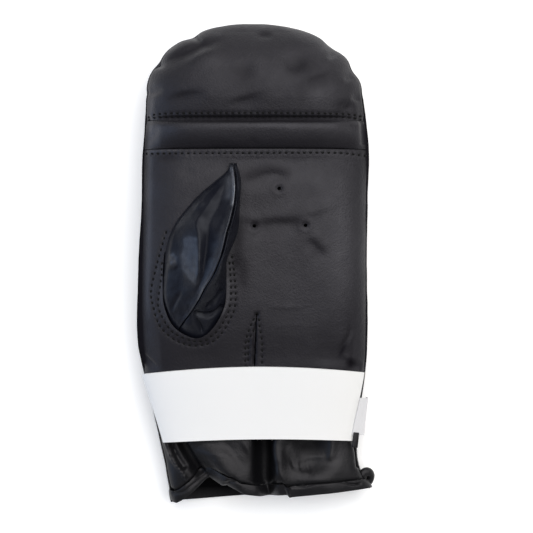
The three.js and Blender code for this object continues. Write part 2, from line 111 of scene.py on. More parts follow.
form = {
    "cuff": 35, "band": 39, "palm": 125, "grip": 17.6, "fingers": 53.4,
    "mouthWidth": 108, "cuffWidth": 111, "wristWidth": 125, "palmWidth": 129, "fingerWidth": 122,
    "mouthDepth": 25.5, "wristDepth": 34.4, "handRoom": 26, "pad": 18, "restFlat": 2,
    "palmLeather": 1.6, "sidePad": 7, "fingerPad": 6, "gap": 0.3,
    "gripRise": 5, "gripSkew": 1.5, "fingerPuff": 4, "bandBow": 4, "bandFootBow": 1.8, "tipShift": 1.2,
    "palmRound": 2.8, "backRound": 3.2, "capRound": 2.15, "seamTurn": 9, "fadeTurn": 22,
    "gatherDepth": 2.3, "mouthSlant": 8.5, "hemProud": 0.5, "middleX": 0.904,
}
wristAt = form["cuff"] + form["band"]
joinAt = form["cuff"] + form["band"] / 2
gripAt = wristAt + form["palm"]
fingerAt = gripAt + form["grip"]
tipAt = fingerAt + form["fingers"]
capAt = fingerAt + 0.2 * form["fingers"]
skin = form["palmLeather"]
palmDepth = form["pad"] + form["handRoom"] + skin
fadeAcross = math.cos(math.radians(form["fadeTurn"])) ** (2 / form["palmRound"])
pressed = -form["restFlat"] / palmDepth

# Each row: length along the glove, width, left and right as shares of half the width, depth, height of the
# side seam, crown and lift off the floor as shares of the depth, and padding as a share of the full padding
sectionRows = [
    (0, form["mouthWidth"], 0.86, 1.24, form["mouthDepth"], 0.45, 1, 0, 0),
    (0.36 * form["cuff"], form["mouthWidth"], 0.9, 1.13, form["mouthDepth"], 0.5, 1.12, 0.02, 0),
    (form["cuff"], form["cuffWidth"], 0.955, 1.057, form["wristDepth"], 0.4, 0.86, 0.08, 0),
    (wristAt, form["wristWidth"], 0.997, 1.01, form["wristDepth"], 0.5, 1.04, 0.09, 0.28),
    (wristAt + 0.13 * form["palm"], form["palmWidth"], 1.014, 0.997, palmDepth, 0.4, 0.84, 0.02, 0.7),
    (wristAt + 0.45 * form["palm"], form["palmWidth"], 1.008, 0.997, palmDepth, 0.46, 0.98, pressed, 1),
    (wristAt + 0.8 * form["palm"], form["palmWidth"], 0.978, 0.997, palmDepth, 0.48, 1, pressed, 1),
    (gripAt, form["palmWidth"], 0.966, 1.009, palmDepth, 0.48, 0.98, pressed, 1),
    (fingerAt, form["fingerWidth"], 1.0, 1.04, palmDepth, 0.48, 1, pressed, 1),
    (capAt, form["fingerWidth"], 0.992, 1.016, palmDepth, 0.48, 1.02, pressed, 1),
]
measured = [
    {"along": along, "left": left * width / 2, "right": right * width / 2, "side": side * depth,
     "crown": crown * depth, "floor": lift * depth, "pad": skin + pad * (form["pad"] - skin)}
    for along, width, left, right, depth, side, crown, lift, pad in sectionRows
]


def columnAt(rows, column, along):  # a smooth curve through the rows
    places = np.array([row["along"] for row in rows], dtype=float)
    values = np.array([row[column] for row in rows], dtype=float)
    before = np.r_[values[0], values[:-1]], np.r_[places[0], places[:-1]]
    after = np.r_[values[1:], values[-1]], np.r_[places[1:], places[-1]]
    slopes = (after[0] - before[0]) / (after[1] - before[1])
    i = np.clip(np.searchsorted(places, along, side="right") - 1, 0, len(rows) - 2)
    span = places[i + 1] - places[i]
    t = np.clip((along - places[i]) / span, 0, 1)
    level = values[i] + (values[i + 1] - values[i]) * ease(t)
    return level + span * (slopes[i] * t * (1 - t) ** 2 - slopes[i + 1] * t * t * (1 - t))


def sectionAt(along):
    place = np.minimum(along, capAt)
    capShare = np.clip((along - capAt) / (tipAt - capAt), 0, 1)
    found = {name: columnAt(measured, name, place)
             for name in ("left", "right", "side", "crown", "floor", "pad")}
    found["cap"] = capShare
    found["closing"] = (1 - capShare ** form["capRound"]) ** (1 / form["capRound"])
    found["half"] = (found["left"] + found["right"]) / 2
    found["centre"] = (found["right"] - found["left"]) / 2 - form["tipShift"] * capShare
    return found


# Hollows of the palm, folds of the cuff and gathers of the fingertips, as shares of the form
palmHollows = [
    {"across": 0.42, "along": 0.42, "wide": 0.42, "long": 0.26, "depth": 0.1},
    {"across": 0.1, "along": 0.93, "wide": 0.9, "long": 0.07, "depth": 0.06},
    {"across": -0.02, "along": 0.72, "wide": 0.3, "long": 0.08, "depth": 0.05},
    {"across": 0.72, "along": 0.07, "wide": 0.16, "long": 0.12, "depth": 0.07},
]
cuffFolds = [
    {"top": -0.79, "foot": -0.62, "width": 0.13, "depth": 0.3, "from": -0.5, "to": 1.4},
    {"top": -0.5, "foot": -0.28, "width": 0.2, "depth": -0.12, "from": 0.05, "to": 1.4},
    {"top": 0.07, "foot": -0.02, "width": 0.07, "depth": 0.34, "from": -0.5, "to": 1.4},
    {"top": 0.2, "foot": 0.14, "width": 0.08, "depth": -0.08, "from": 0.1, "to": 0.9},
    {"top": 0.52, "foot": 0.45, "width": 0.2, "depth": 0.2, "from": -0.5, "to": 0.75},
    {"top": 0.62, "foot": 0.6, "width": 0.22, "depth": -0.1, "from": 0.35, "to": 1.4},
]
gathers = [
    {"turn": -4, "strength": 0.8, "spread": 7}, {"turn": 23, "strength": 0.7, "spread": 6},
    {"turn": 44, "strength": 1, "spread": 7}, {"turn": 124, "strength": 1, "spread": 5},
    {"turn": 151, "strength": 0.6, "spread": 6}, {"turn": 182, "strength": 0.9, "spread": 6},
]


def relief(across, along):  # how far the palm side stands above its plain section, in mm
    edge = 1 - np.minimum(1, np.abs(across) / fadeAcross) ** 6
    onFingers = np.clip(0.1 + (along - fingerAt) / form["fingers"], 0, 1)
    puff = form["fingerPuff"] * np.sin(np.pi * onFingers) ** 0.8
    onBar = np.clip((along - gripAt) / form["grip"], 0, 1)
    roll = form["gripRise"] * np.sin(np.pi * onBar ** form["gripSkew"]) ** 0.7
    share = (along - wristAt) / form["palm"]
    hollow = 0
    for row in palmHollows:
        hollow = hollow + row["depth"] * bell((across - row["across"]) / row["wide"]) \
            * bell((share - row["along"]) / row["long"])
    palm = -form["handRoom"] * hollow * ease(share / 0.05) * ease((1 - share) / 0.05)
    down = (form["cuff"] - along) / form["cuff"]
    folds = 0
    for row in cuffFolds:
        middle = row["top"] + (row["foot"] - row["top"]) * np.clip(down, 0, 1)
        lasting = ease((down - row["from"]) / 0.3) * ease((row["to"] - down) / 0.3)
        folds = folds + row["depth"] * lasting * bell((across - middle) / row["width"])
    cuff = -form["mouthDepth"] * folds * ease((joinAt - along) / (form["band"] / 2))
    return edge * np.select([along > fingerAt, along > gripAt, along > wristAt], [puff, roll, palm], cuff)


def gloveAt(along, turn, side=0, palm=0, back=0, tip=0, raised=1):  # in metres, under the skin by so many mm
    section = sectionAt(along)
    level, height = np.cos(np.radians(turn)), np.sin(np.radians(turn))
    onPalm = height >= 0
    power = 2 / np.where(onPalm, form["palmRound"], form["backRound"])
    across = np.sign(level) * np.abs(level) ** power
    depth = np.where(onPalm, section["crown"] - section["side"] - palm,
                     section["side"] - section["floor"] - back)
    bandShare = np.clip((along - form["cuff"]) / form["band"], 0, 1)
    fade = ease(1 - (along - wristAt) / (0.2 * form["palm"])) * ease(along / form["cuff"])
    bow = fade * (form["bandFootBow"] + (form["bandBow"] - form["bandFootBow"]) * bandShare)
    slant = form["mouthSlant"] * np.clip(1 - along / form["cuff"], 0, 1)
    x = section["centre"] + (section["half"] - side) * section["closing"] * across
    y = along - tip * section["cap"] + slant * (1 + across) / 2 + bow * (1 - across * across)
    z = section["side"] + depth * section["closing"] * np.sign(height) * np.abs(height) ** power
    z = z + np.where(onPalm, raised * relief(across, along) * section["closing"] * np.abs(height) ** 0.5, 0)
    reachX = (x - section["centre"]) / section["half"]
    reachY = (y - capAt) / (tipAt - capAt)
    around = np.degrees(np.arctan2(reachY, reachX))
    notch = sum(row["strength"] * bell((around - row["turn"]) / row["spread"]) for row in gathers)
    pull = notch * form["gatherDepth"] * np.minimum(1, np.hypot(reachX, reachY)) ** 5 / section["half"]
    pull = pull * np.where(section["cap"] > 0, ease(section["cap"] / 0.12), 0)
    x, y = x - (x - section["centre"]) * pull, y - (y - capAt) * pull
    return np.stack([x - form["middleX"], y - tipAt / 2, z], axis=-1) * mm


def topHeight(x, y):  # of the palm side, in mm, at a place in the glove's own mm
    section = sectionAt(y)
    across = np.minimum(1, np.abs(x - section["centre"]) / (section["half"] * section["closing"]))
    height = (1 - across ** form["palmRound"]) ** (1 / form["palmRound"])
    raised = relief(np.sign(x - section["centre"]) * across, y) * height ** (form["palmRound"] / 4)
    return section["side"] + ((section["crown"] - section["side"]) * height + raised) * section["closing"]


def evenTurns(first, last, along):  # turns that lie at even steps round the section
    turns = np.linspace(first, last, 1500)
    points = gloveAt(np.full(len(turns), float(along)), turns)
    walked = np.r_[0, np.cumsum(np.linalg.norm(np.diff(points, axis=0), axis=1))]
    return lambda u: np.interp(u * walked[-1], walked, turns)


palmTurns = (180 - form["seamTurn"], form["seamTurn"])
backTurns = (360 + form["seamTurn"], 180 - form["seamTurn"])
overBack = np.array([0, 0, form["gap"] * mm])


# Soft relief: a crease is a path in mm with a width to its left and right, a height and the share of its
# length over which it fades at each end; a patch is a flat polygon with a soft border

def crease(path, left, right, height, ends=0.45, pitch=None):
    return {"path": path, "left": left, "right": right, "height": height, "ends": ends, "pitch": pitch}


def patch(corners, border, height):
    return {"corners": corners, "border": border, "height": height}


def smoothPath(path, each=7):
    path = np.array(path, dtype=float)
    padded = np.vstack([2 * path[0] - path[1], path, 2 * path[-1] - path[-2]])
    made = []
    for i in range(1, len(padded) - 2):
        a, b, c, d = padded[i - 1:i + 3]
        for t in np.linspace(0, 1, each, endpoint=False):
            made.append(0.5 * (2 * b + (c - a) * t + (2 * a - 5 * b + 4 * c - d) * t * t
                               + (3 * b - a - 3 * c + d) * t ** 3))
    return np.array(made + [path[-1]])


def besidePath(places, path):  # distance from a path, side of it (1 left, -1 right) and length along it
    best = np.full(len(places), 1e9)
    side, walked = np.zeros(len(places)), np.zeros(len(places))
    start = 0
    for a, b in zip(path[:-1], path[1:]):
        run = b - a
        length = np.hypot(*run)
        t = np.clip(((places - a) @ run) / length ** 2, 0, 1)
        off = places - (a + t[:, None] * run)
        distance = np.hypot(off[:, 0], off[:, 1])
        nearer = distance < best
        best = np.where(nearer, distance, best)
        side = np.where(nearer, np.sign(run[0] * off[:, 1] - run[1] * off[:, 0]), side)
        walked = np.where(nearer, start + t * length, walked)
        start += length
    return best, side, walked, start


def creased(places, rows):
    places = places[:, :2]
    height = np.zeros(len(places))
    for row in rows:
        path = smoothPath(row["path"])
        reach = 3 * max(row["left"], row["right"])
        low, high = path.min(axis=0) - reach, path.max(axis=0) + reach
        near = np.all((places > low) & (places < high), axis=1)
        if not near.any():
            continue
        distance, side, walked, total = besidePath(places[near], path)
        ends = row["ends"] * total + 1e-6
        fade = ease(walked / ends) * ease((total - walked) / ends)
        width = np.where(side > 0, row["left"], row["right"])
        shape = bell(distance / width)
        if row["pitch"]:
            shape = shape * (0.6 - 0.4 * np.cos(2 * np.pi * walked / row["pitch"]))
        height[near] += row["height"] * shape * fade
    return height


def patched(places, rows):
    places = places[:, :2]
    height = np.zeros(len(places))
    for row in rows:
        corners = np.array(row["corners"], dtype=float)
        inside = np.zeros(len(places), dtype=bool)
        nearest = np.full(len(places), 1e6)
        for first, last in zip(corners, np.roll(corners, -1, axis=0)):
            run = last - first
            share = np.clip((places - first) @ run / (run @ run), 0, 1)
            nearest = np.minimum(nearest, np.linalg.norm(places - first - share[:, None] * run, axis=1))
            if first[1] != last[1]:
                meets = first[0] + (places[:, 1] - first[1]) * run[0] / run[1]
                inside ^= ((first[1] > places[:, 1]) != (last[1] > places[:, 1])) & (places[:, 0] < meets)
        depth = np.where(inside, nearest, -nearest)
        height += row["height"] * ease(0.5 + depth / row["border"])
    return height


# Sheets and padded pieces, made as grids and laid over the form

def gridPiece(name, look):
    deselectAll()
    bpy.ops.mesh.primitive_grid_add(x_subdivisions=look["columns"], y_subdivisions=look["rows"], size=1)
    thing = bpy.context.object
    thing.name = name
    thing.data.name = name
    return thing


def layOver(thing, surface, height=None):
    flat = pointsOf(thing)
    u, v = flat[:, 0] + 0.5, flat[:, 1] + 0.5
    setPoints(thing, surface(u, v))
    if height is not None:
        points, normals = pointsOf(thing), pointsOf(thing, "normal")
        setPoints(thing, points + normals * (height(points / mm, u, v) * mm)[:, None])


def editMerged(thing):  # into edit mode, with all selected and double points merged
    makeActive(thing)
    bpy.ops.object.mode_set(mode="EDIT")
    bpy.ops.mesh.select_all(action="SELECT")
    bpy.ops.mesh.remove_doubles(threshold=mergeWithin)


def outwards(thing):
    editMerged(thing)
    bpy.ops.mesh.normals_make_consistent(inside=False)
    bpy.ops.object.mode_set(mode="OBJECT")


def joinAll(things, name):
    deselectAll()
    for thing in things:
        thing.select_set(True)
    bpy.context.view_layer.objects.active = things[0]
    if len(things) > 1:
        bpy.ops.object.join()
    joined = bpy.context.object
    joined.name = name
    joined.data.name = name
    return joined


def leaveOut(thing, wanted):  # deletes the faces for which wanted(u, v, middles in mm) is true
    flat = pointsOf(thing)
    corners = np.empty(len(thing.data.polygons) * 4, dtype=int)
    thing.data.polygons.foreach_get("vertices", corners)
    corners = corners.reshape(-1, 4)

    def take(points):
        middles = flat[corners].mean(axis=1)
        chosen = wanted(middles[:, 0] + 0.5, middles[:, 1] + 0.5, points[corners].mean(axis=1) / mm)
        thing.data.vertices.foreach_set("select", np.zeros(len(flat), dtype=bool))
        thing.data.edges.foreach_set("select", np.zeros(len(thing.data.edges), dtype=bool))
        thing.data.polygons.foreach_set("select", chosen)
        makeActive(thing)
        bpy.ops.object.mode_set(mode="EDIT")
        bpy.ops.mesh.select_mode(type="FACE")
        bpy.ops.mesh.delete(type="FACE")
        bpy.ops.mesh.select_mode(type="VERT")
        bpy.ops.object.mode_set(mode="OBJECT")
    return take


def sheetPiece(name, look, surface, height, without=None):
    thing = gridPiece(name, look)
    take = leaveOut(thing, without) if without else None
    layOver(thing, surface, height)
    if take:
        take(pointsOf(thing))
    editMerged(thing)
    bpy.ops.object.mode_set(mode="OBJECT")
    applyModifier(thing, "SOLIDIFY", thickness=look["thickness"] * mm, offset=-1)
    smoothByAngle(thing)
    return thing


def paddedPiece(name, look, outer, inner, height):
    cover = gridPiece(name, look)
    layOver(cover, outer, height)
    lining = gridPiece(name + "Inside", look)
    layOver(lining, inner)
    joined = joinAll([cover, lining], name)
    editMerged(joined)
    bpy.ops.mesh.select_all(action="DESELECT")
    bpy.ops.mesh.select_non_manifold()
    bpy.ops.mesh.bridge_edge_loops()
    bpy.ops.object.mode_set(mode="OBJECT")
    outwards(joined)
    smoothByAngle(joined)
    return joined


def seamRoll(u, v, look, bottom=True, top=True):  # how far the leather dips towards its sewn edges
    sunk = bell(np.minimum(u, 1 - u) * look["around"] / look["reach"])
    if bottom:
        sunk += bell(v * look["long"] / look["reach"])
    if top:
        sunk += bell((1 - v) * look["long"] / look["reach"])
    return -look["dip"] * np.minimum(sunk, 1)


def paintLightAndShade(thing, look):  # painted highlights and shade: how strongly the leather reflects from place to place, as a share
    places = pointsOf(thing) / mm
    share = look["plain"] + creased(places, look["rows"]) + patched(places, look.get("patches", []))
    share = share * (1 + 0.1 * bumpy(places, 13, 21) + look.get("mottle", 0.07) * bumpy(places, 2.6, 22))
    layer = thing.data.attributes.new("paintedLight", "FLOAT", "POINT")
    layer.data.foreach_set("value", np.clip(share, 0, 5))


def finished(thing, slotName, nodes, material, paintedLight=None, **soft):
    # Each piece gets a map of painted highlights and shade, flat where none is given
    paintLightAndShade(thing, paintedLight or {"plain": 1, "rows": []})
    thing.data.materials.clear()
    thing.data.materials.append(material)
    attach(thing, "root")
    for node in nodes:
        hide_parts(node)


# Materials

def newMaterial(name, **settings):
    material = bpy.data.materials.new(name)
    material.use_nodes = True
    shader = material.node_tree.nodes["Principled BSDF"]
    for key, value in settings.items():
        shader.inputs[key].default_value = value
    return material, shader


def addNode(material, kind, links=(), **settings):
    node = material.node_tree.nodes.new(kind)
    for key, value in settings.items():
        if key in node.inputs:
            node.inputs[key].default_value = value
        else:
            setattr(node, key, value)
    for inputName, source in links:
        material.node_tree.links.new(node.inputs[inputName], source)
    return node


def leather(name, look):
    material, shader = newMaterial(name)
    shader.inputs["Base Color"].default_value = look["colour"]
    shader.inputs["Specular Tint"].default_value = look["tint"]
    shader.inputs["Coat Weight"].default_value = look["coat"]
    shader.inputs["Coat Roughness"].default_value = 0.3
    links = material.node_tree.links
    place = addNode(material, "ShaderNodeTexCoord").outputs["Object"]
    mottle = addNode(material, "ShaderNodeTexNoise", [("Vector", place)], Scale=90, Detail=4)
    rough = addNode(material, "ShaderNodeMapRange", [("Value", mottle.outputs["Fac"])], **{
        "From Min": 0.3, "From Max": 0.7,
        "To Min": look["roughness"] - 0.06, "To Max": look["roughness"] + 0.06})
    links.new(shader.inputs["Roughness"], rough.outputs["Result"])
    pebbles = addNode(material, "ShaderNodeTexVoronoi", [("Vector", place)],
                      Scale=look["grain"], Randomness=1, feature="SMOOTH_F1")
    fine = addNode(material, "ShaderNodeTexNoise", [("Vector", place)], Scale=2200, Detail=3)
    mixed = addNode(material, "ShaderNodeMath", [(0, pebbles.outputs["Distance"]), (1, fine.outputs["Fac"])],
                    operation="ADD")
    bump = addNode(material, "ShaderNodeBump", [("Height", mixed.outputs["Value"])],
                   Strength=look["bump"], Distance=0.0004, invert=True)
    links.new(shader.inputs["Normal"], bump.outputs["Normal"])
    # The painted highlights and shade scale how strongly the leather reflects
    paintedLight = addNode(material, "ShaderNodeAttribute", attribute_name="paintedLight")
    shine = addNode(material, "ShaderNodeMath", [(0, paintedLight.outputs["Fac"])], operation="MULTIPLY")
    shine.inputs[1].default_value = look["shine"]
    links.new(shader.inputs["Specular IOR Level"], shine.outputs["Value"])
    return material


blackLeather = leather("black leather", {
    "colour": (0.0085, 0.0078, 0.0098, 1), "shine": 0.36, "roughness": 0.5,
    "coat": 0.0, "grain": 900, "bump": 0.35,
    "tint": (0.93, 0.92, 1, 1),
})
thumbLeather = leather("thumb leather", {
    "colour": (0.0045, 0.005, 0.0085, 1), "shine": 0.34, "roughness": 0.4,
    "coat": 0.05, "grain": 1000, "bump": 0.25,
    "tint": (0.86, 0.9, 1, 1),
})
cuffLeather = leather("cuff leather", {
    "colour": (0.0045, 0.0045, 0.0052, 1), "shine": 0.26, "roughness": 0.42,
    "coat": 0.0, "grain": 1100, "bump": 0.25,
    "tint": (0.97, 0.95, 1, 1),
})
thread = newMaterial("black thread", **{
    "Base Color": (0.003, 0.003, 0.003, 1), "Roughness": 0.7, "Specular IOR Level": 0.12,
})[0]


def elastic():
    material, shader = newMaterial("white elastic", **{
        "Base Color": (0.745, 0.745, 0.74, 1), "Roughness": 0.85, "Specular IOR Level": 0.2,
        "Sheen Weight": 0.1,
    })
    place = addNode(material, "ShaderNodeTexCoord").outputs["UV"]
    ribs = addNode(material, "ShaderNodeTexWave", [("Vector", place)],
                   Scale=34, Distortion=0.2, bands_direction="Y")
    yarn = addNode(material, "ShaderNodeTexWave", [("Vector", place)],
                   Scale=110, Distortion=0.4, bands_direction="X")
    woven = addNode(material, "ShaderNodeMath", [(0, ribs.outputs["Fac"]), (1, yarn.outputs["Fac"])],
                    operation="ADD")
    bump = addNode(material, "ShaderNodeBump", [("Height", woven.outputs["Value"])],
                   Strength=0.25, Distance=0.0002)
    material.node_tree.links.new(shader.inputs["Normal"], bump.outputs["Normal"])
    return material


def satin():
    material, shader = newMaterial("white satin", **{
        "Base Color": (0.62, 0.62, 0.635, 1), "Roughness": 0.5, "Specular IOR Level": 0.4,
    })
    place = addNode(material, "ShaderNodeTexCoord").outputs["UV"]
    yarn = addNode(material, "ShaderNodeTexWave", [("Vector", place)], Scale=30, Distortion=0.1)
    bump = addNode(material, "ShaderNodeBump", [("Height", yarn.outputs["Fac"])],
                   Strength=0.1, Distance=0.0001)
    material.node_tree.links.new(shader.inputs["Normal"], bump.outputs["Normal"])
    return material


whiteElastic, whiteSatin = elastic(), satin()
print("materials made")


# Painted highlights and shade on the leather, as a plain share of its reflection, with creases and patches
# whose height is a change of it

# Painted shade along both side edges and a painted highlight strip inside the left edge
edgePaintedLight = [
    crease([(-63, 98), (-64, 85), (-64.6, 60), (-65.2, 20), (-65.8, -20), (-65, -45),
            (-63, -62)], 3.7, 3, -1.5, 0.05),
    crease([(-57.2, 98), (-58.2, 82), (-58.8, 60), (-59.2, 20), (-60, -10),
            (-60, -34)], 1.8, 1.4, 0.75, 0.12),
    crease([(62, 100), (63.4, 70), (64.6, 30), (64.6, -20), (64, -62)], 3.4, 2.6, -1.3, 0.05),
]
fingerPaintedLight = {"plain": 0.84, "rows": edgePaintedLight + [
    crease([(-60, 106), (-57.6, 96), (-57, 86)], 4, 4, 0.5),
    crease([(-56, 108), (-42, 116), (-28, 121.5), (-12, 125)], 3, 3.5, -0.45),
    crease([(-46, 103), (-28, 110), (-8, 114)], 4, 5, 0.25),
    crease([(-54, 90.5), (-40, 94), (-24, 95)], 2.6, 4, -0.35),
    crease([(-18, 88), (-4, 92), (10, 95)], 2.6, 4, -0.3),
    crease([(-9, 116), (-5, 104), (-4, 92)], 5, 8, -0.3),
    crease([(12, 102), (26, 109), (40, 111)], 6, 6, -0.4),
    crease([(20, 95), (36, 101), (50, 107)], 4, 5, -0.3),
    crease([(-1, 127.4), (6, 127.8), (13, 127.2)], 2.4, 3, -0.35),
    crease([(40, 88), (58, 90)], 3, 6, -0.4),
    crease([(22, 126), (42, 114), (54, 102)], 4, 5, 0.25),
    crease([(-59, 94), (-58.6, 86), (-59.4, 79)], 2, 3.4, 0.5, 0.3),
    crease([(26, 92), (44, 92), (56, 96)], 7, 7, 0.3, 0.3),
]}
# Painted shade on the bar's lower half, painted highlights on its upper half and left end
barPaintedLight = {"plain": 0.9, "rows": edgePaintedLight + [
    crease([(-56, 66.5), (0, 66), (60, 66.5)], 4, 5, -0.45, 0.05),
    crease([(-58, 76), (0, 77), (58, 76)], 3, 3, 0.2, 0.05),
], "patches": [
    patch([(-60, 77), (-52.6, 76.4), (-53.6, 67.5), (-59, 66.5)], 3.4, 0.6),
]}
# Painted shade on the lower palm, in its creases and above the band; painted highlights on its right side and
# along the rims by the thumb
palmPaintedLight = {"plain": 0.92, "rows": edgePaintedLight + [
    crease([(-54, -50), (0, -46), (56, -50)], 17, 20, -0.42, 0.02),
    crease([(50, 54), (52, 10), (50, -30)], 12, 16, 0.36, 0.3),
    crease([(-9, 47), (0, 50.4), (8, 52.6), (16, 51.6), (23, 48.4)], 2.6, 3.4, -0.42, 0.2),
    crease([(-9.6, 25), (2, 23.4), (16, 24), (29, 23)], 2.2, 2.6, -0.45, 0.15),
    crease([(30, 17), (36, 10), (42, 4)], 3, 3.6, -0.4),
    crease([(-9, 10), (-8, -12), (-5, -26)], 4, 4, -0.35),
    crease([(-58, 59), (-40, 59.5)], 2, 2.5, -0.4),
    crease([(-64, 64.4), (0, 64.8), (64, 64.4)], 0.9, 0.9, -0.8, 0.01),
    crease([(-62.6, 63.2), (-50, 63.3), (-38, 63.3)], 0.5, 0.5, 1.3, 0.3),
    crease([(48, 22), (50, 0), (48, -20)], 8, 8, 0.14, 0.3),
    crease([(50.7, -56), (60, -58.5)], 2, 2, -0.5),
    crease([(45.5, -55), (49, -48), (53, -41.5)], 1.2, 1.6, -0.5),
    crease([(51, -58.4), (54, -55), (56.5, -50.5)], 2.2, 2.2, -0.5),
    crease([(12, -59.4), (34, -59.8), (56, -61.4)], 1.4, 1.8, -0.5, 0.3),
    crease([(-50.6, 4), (-51.7, -4), (-51.9, -14.8), (-51.2, -23.5), (-47.2, -33.8), (-39.7, -40.2),
            (-31, -42.3)], 0.6, 0.6, 0.8, 0.1),
    crease([(-14.9, -6), (-14.4, -14), (-15.2, -22), (-19, -30)], 0.8, 0.8, 1.2, 0.2),
    crease([(-9.6, 30), (-8.6, 18), (-10.4, 6), (-10, -6)], 3, 2.4, -0.45, 0.2),
]}
seamPath = [(-13.4, 55.2), (-12.2, 50), (-11.6, 44), (-11.6, 38), (-12.6, 31), (-14.5, 23), (-16.6, 15),
            (-18.6, 7), (-21.4, -1), (-24.6, -8), (-28.4, -14.4), (-32, -22)]
# Painted highlights on the thumb's facets, crest and seam, with painted shade beside them
thumbPaintedLight = {"plain": 0.5, "mottle": 0.28, "rows": [
    crease([(-19, 46), (-22, 39), (-26.6, 31), (-29, 24)], 3, 3, -0.3, 0.15),
    crease([(-34, 29), (-26, 33.6), (-20, 36)], 2.6, 2.6, 0.4),
    crease([(-15.2, 51), (-14.2, 46), (-14.2, 40), (-15.2, 33)], 1.4, 2.2, 2.2, 0.3),
    crease(seamPath[:5], 0.9, 0.8, 5, 0.1),
    crease(seamPath[4:], 0.7, 0.7, 0.9, 0.05),
    crease([(-16.6, 25), (-19.4, 13.4), (-22.8, 2), (-26.8, -9), (-32, -20)], 1.5, 1.6, 0.7, 0.15),
    crease([(-15.8, 51), (-21, 46.8), (-26.6, 42)], 0.6, 0.6, 1.8, 0.1),
], "patches": [
    patch([(-39.3, 13.5), (-36.8, 15.4), (-31.8, 14.2), (-30.9, 5), (-31, -11.6), (-32.6, -12),
           (-36.6, -8.1), (-40.2, -2.9), (-40.9, 4.6), (-39, 9.6)], 1.8, 0.84),
    patch([(-47, 4.8), (-45.4, 5.4), (-43.6, 3.4), (-43.4, -0.6), (-45, -1.8), (-46.8, -0.4)], 2.4, 1.7),
    patch([(-47, 20), (-40, 20), (-41.5, 6), (-43, 6.6), (-48, 6)], 5, -0.3),
    patch([(-47, -3.4), (-41, -4), (-36, -11), (-33, -14), (-40, -19), (-47, -14)], 5, -0.12),
    patch([(-27.6, 17), (-24.6, 20.4), (-22.4, 14), (-24.8, 4), (-28.6, -7), (-30.4, -8)], 4, -0.36),
]}
# Painted highlights along the side gore's seam and painted shade low on it
gorePaintedLight = {"plain": 0.62, "mottle": 0.1, "rows": [
    crease([(-30, -28), (-22, -24), (-17, -14)], 6, 5, -0.45, 0.1),
    crease(seamPath, 0.8, 0.8, 0.8, 0.05),
    crease([(-10.3, 55), (-9, 48), (-8.6, 40)], 0.8, 0.8, 1.4, 0.1),
]}
# Painted shade in the cuff's hollows and under the band, painted highlights on its lit folds
cuffPaintedLight = {"plain": 0.95, "rows": [
    crease([(-43, -99), (-39, -107), (-32.6, -115.6)], 3.4, 3.0, -0.85, 0.05),
    crease([(3, -96), (3.4, -110), (2.6, -124)], 5, 5, -0.85, 0.03),
    crease([(17, -101), (30, -103), (45, -100)], 3.6, 4.2, -0.75, 0.4),
    crease([(26, -110.8), (34, -109), (42, -110)], 1.2, 1.2, 0.5),
    crease([(44, -100), (47, -110), (46, -118)], 4, 4, 0.3),
    crease([(-10, -99), (-5, -106), (-4, -116)], 3, 3, -0.35),
    crease([(-24, -103), (-18, -112), (-10, -120)], 6, 5, 0.15),
    crease([(60, -98), (61.6, -110), (64, -120)], 2.4, 2.4, -0.6),
]}


# Stitch rows, as paths in mm on the glove seen from above

stitchRows = {
    "fingers": [
        [(-60.9, 81), (-57.5, 83), (-50, 83.6), (-20, 83.7), (20, 83.7), (50, 83.4), (59.6, 82.4)],
        [(-60.9, 79.5), (-57, 81.4), (-50, 81.8), (-20, 81.8), (20, 81.8), (50, 81.6), (59.6, 80.7)],
    ],
    "bar": [
        [(-62.5, 61.6), (-50, 61.4), (-20, 61.4), (20, 61.6), (45, 61.7), (62.5, 60.4)],
    ],
    "thumbInner": [
        [(-51.4, 2), (-51.9, -2), (-51.9, -6.4), (-53.6, -17.6), (-54.1, -23.3), (-51.9, -29.5),
         (-46.8, -37.4), (-41.2, -40.8), (-34.9, -43), (-28.2, -43), (-24.8, -40.8), (-20, -36.2),
         (-14.7, -26.7), (-13.2, -14.8), (-14.1, 1)],
    ],
    "thumbOuter": [
        [(-48.6, 19), (-50.2, 15.1), (-55.2, -2.4), (-58.1, -15.4), (-56.9, -23.8), (-54.7, -31.5),
         (-51.9, -36.5), (-45.7, -41.9), (-37.8, -45.3), (-31.8, -45.8), (-24.8, -44.1), (-20.3, -40.8),
         (-16.9, -36.5), (-14.1, -31.5), (-11.3, -25), (-10.7, -14.8), (-12.1, 0.4), (-13, 5.5)],
    ],
    "dart": [
        [(1.4, -26.4), (-1.3, -32.3), (-3.4, -37.4), (-4.5, -40.8), (-5.2, -45.3), (-5.4, -57.7)],
        [(0, -35.7), (-1.7, -39.1), (-3.4, -43), (-3.7, -48.6), (-3.7, -55.4)],
        [(1.4, -26.4), (2.3, -30.6), (2.8, -35.7), (3.7, -41.3), (4.1, -45.8), (3.9, -56.5)],
    ],
}
stitchLook = {"pitch": 3.4, "long": 2.7, "wide": 1.3, "thick": 1.2, "bend": 0.4, "sink": 0.1,
              "grooveWidth": 0.95, "grooveDepth": 0.65, "steepest": 0.15}


def rowGrooves(*names):  # the leather is drawn in along each row, most at its stitches
    width, depth = stitchLook["grooveWidth"], stitchLook["grooveDepth"]
    return [crease(path, width, width, -depth, 0.01, stitchLook["pitch"])
            for name in names for path in stitchRows[name]]


# Padded back

backLook = {"columns": 230, "rows": 200, "around": 230, "long": 214, "dip": 1.3, "reach": 1.6,
            "bend": 0.82, "fill": 0.8}
backTurn = evenTurns(*backTurns, wristAt + 0.6 * form["palm"])


def overTip(first, bend, v):  # lengths along the glove: evenly up to the cap, then closing over the tip
    share = np.clip((v - bend) / (1 - bend), 0, 1)
    return np.where(v < bend, first + (capAt - first) * v / bend,
                    capAt + (tipAt - capAt) * np.sin(share * np.pi / 2))


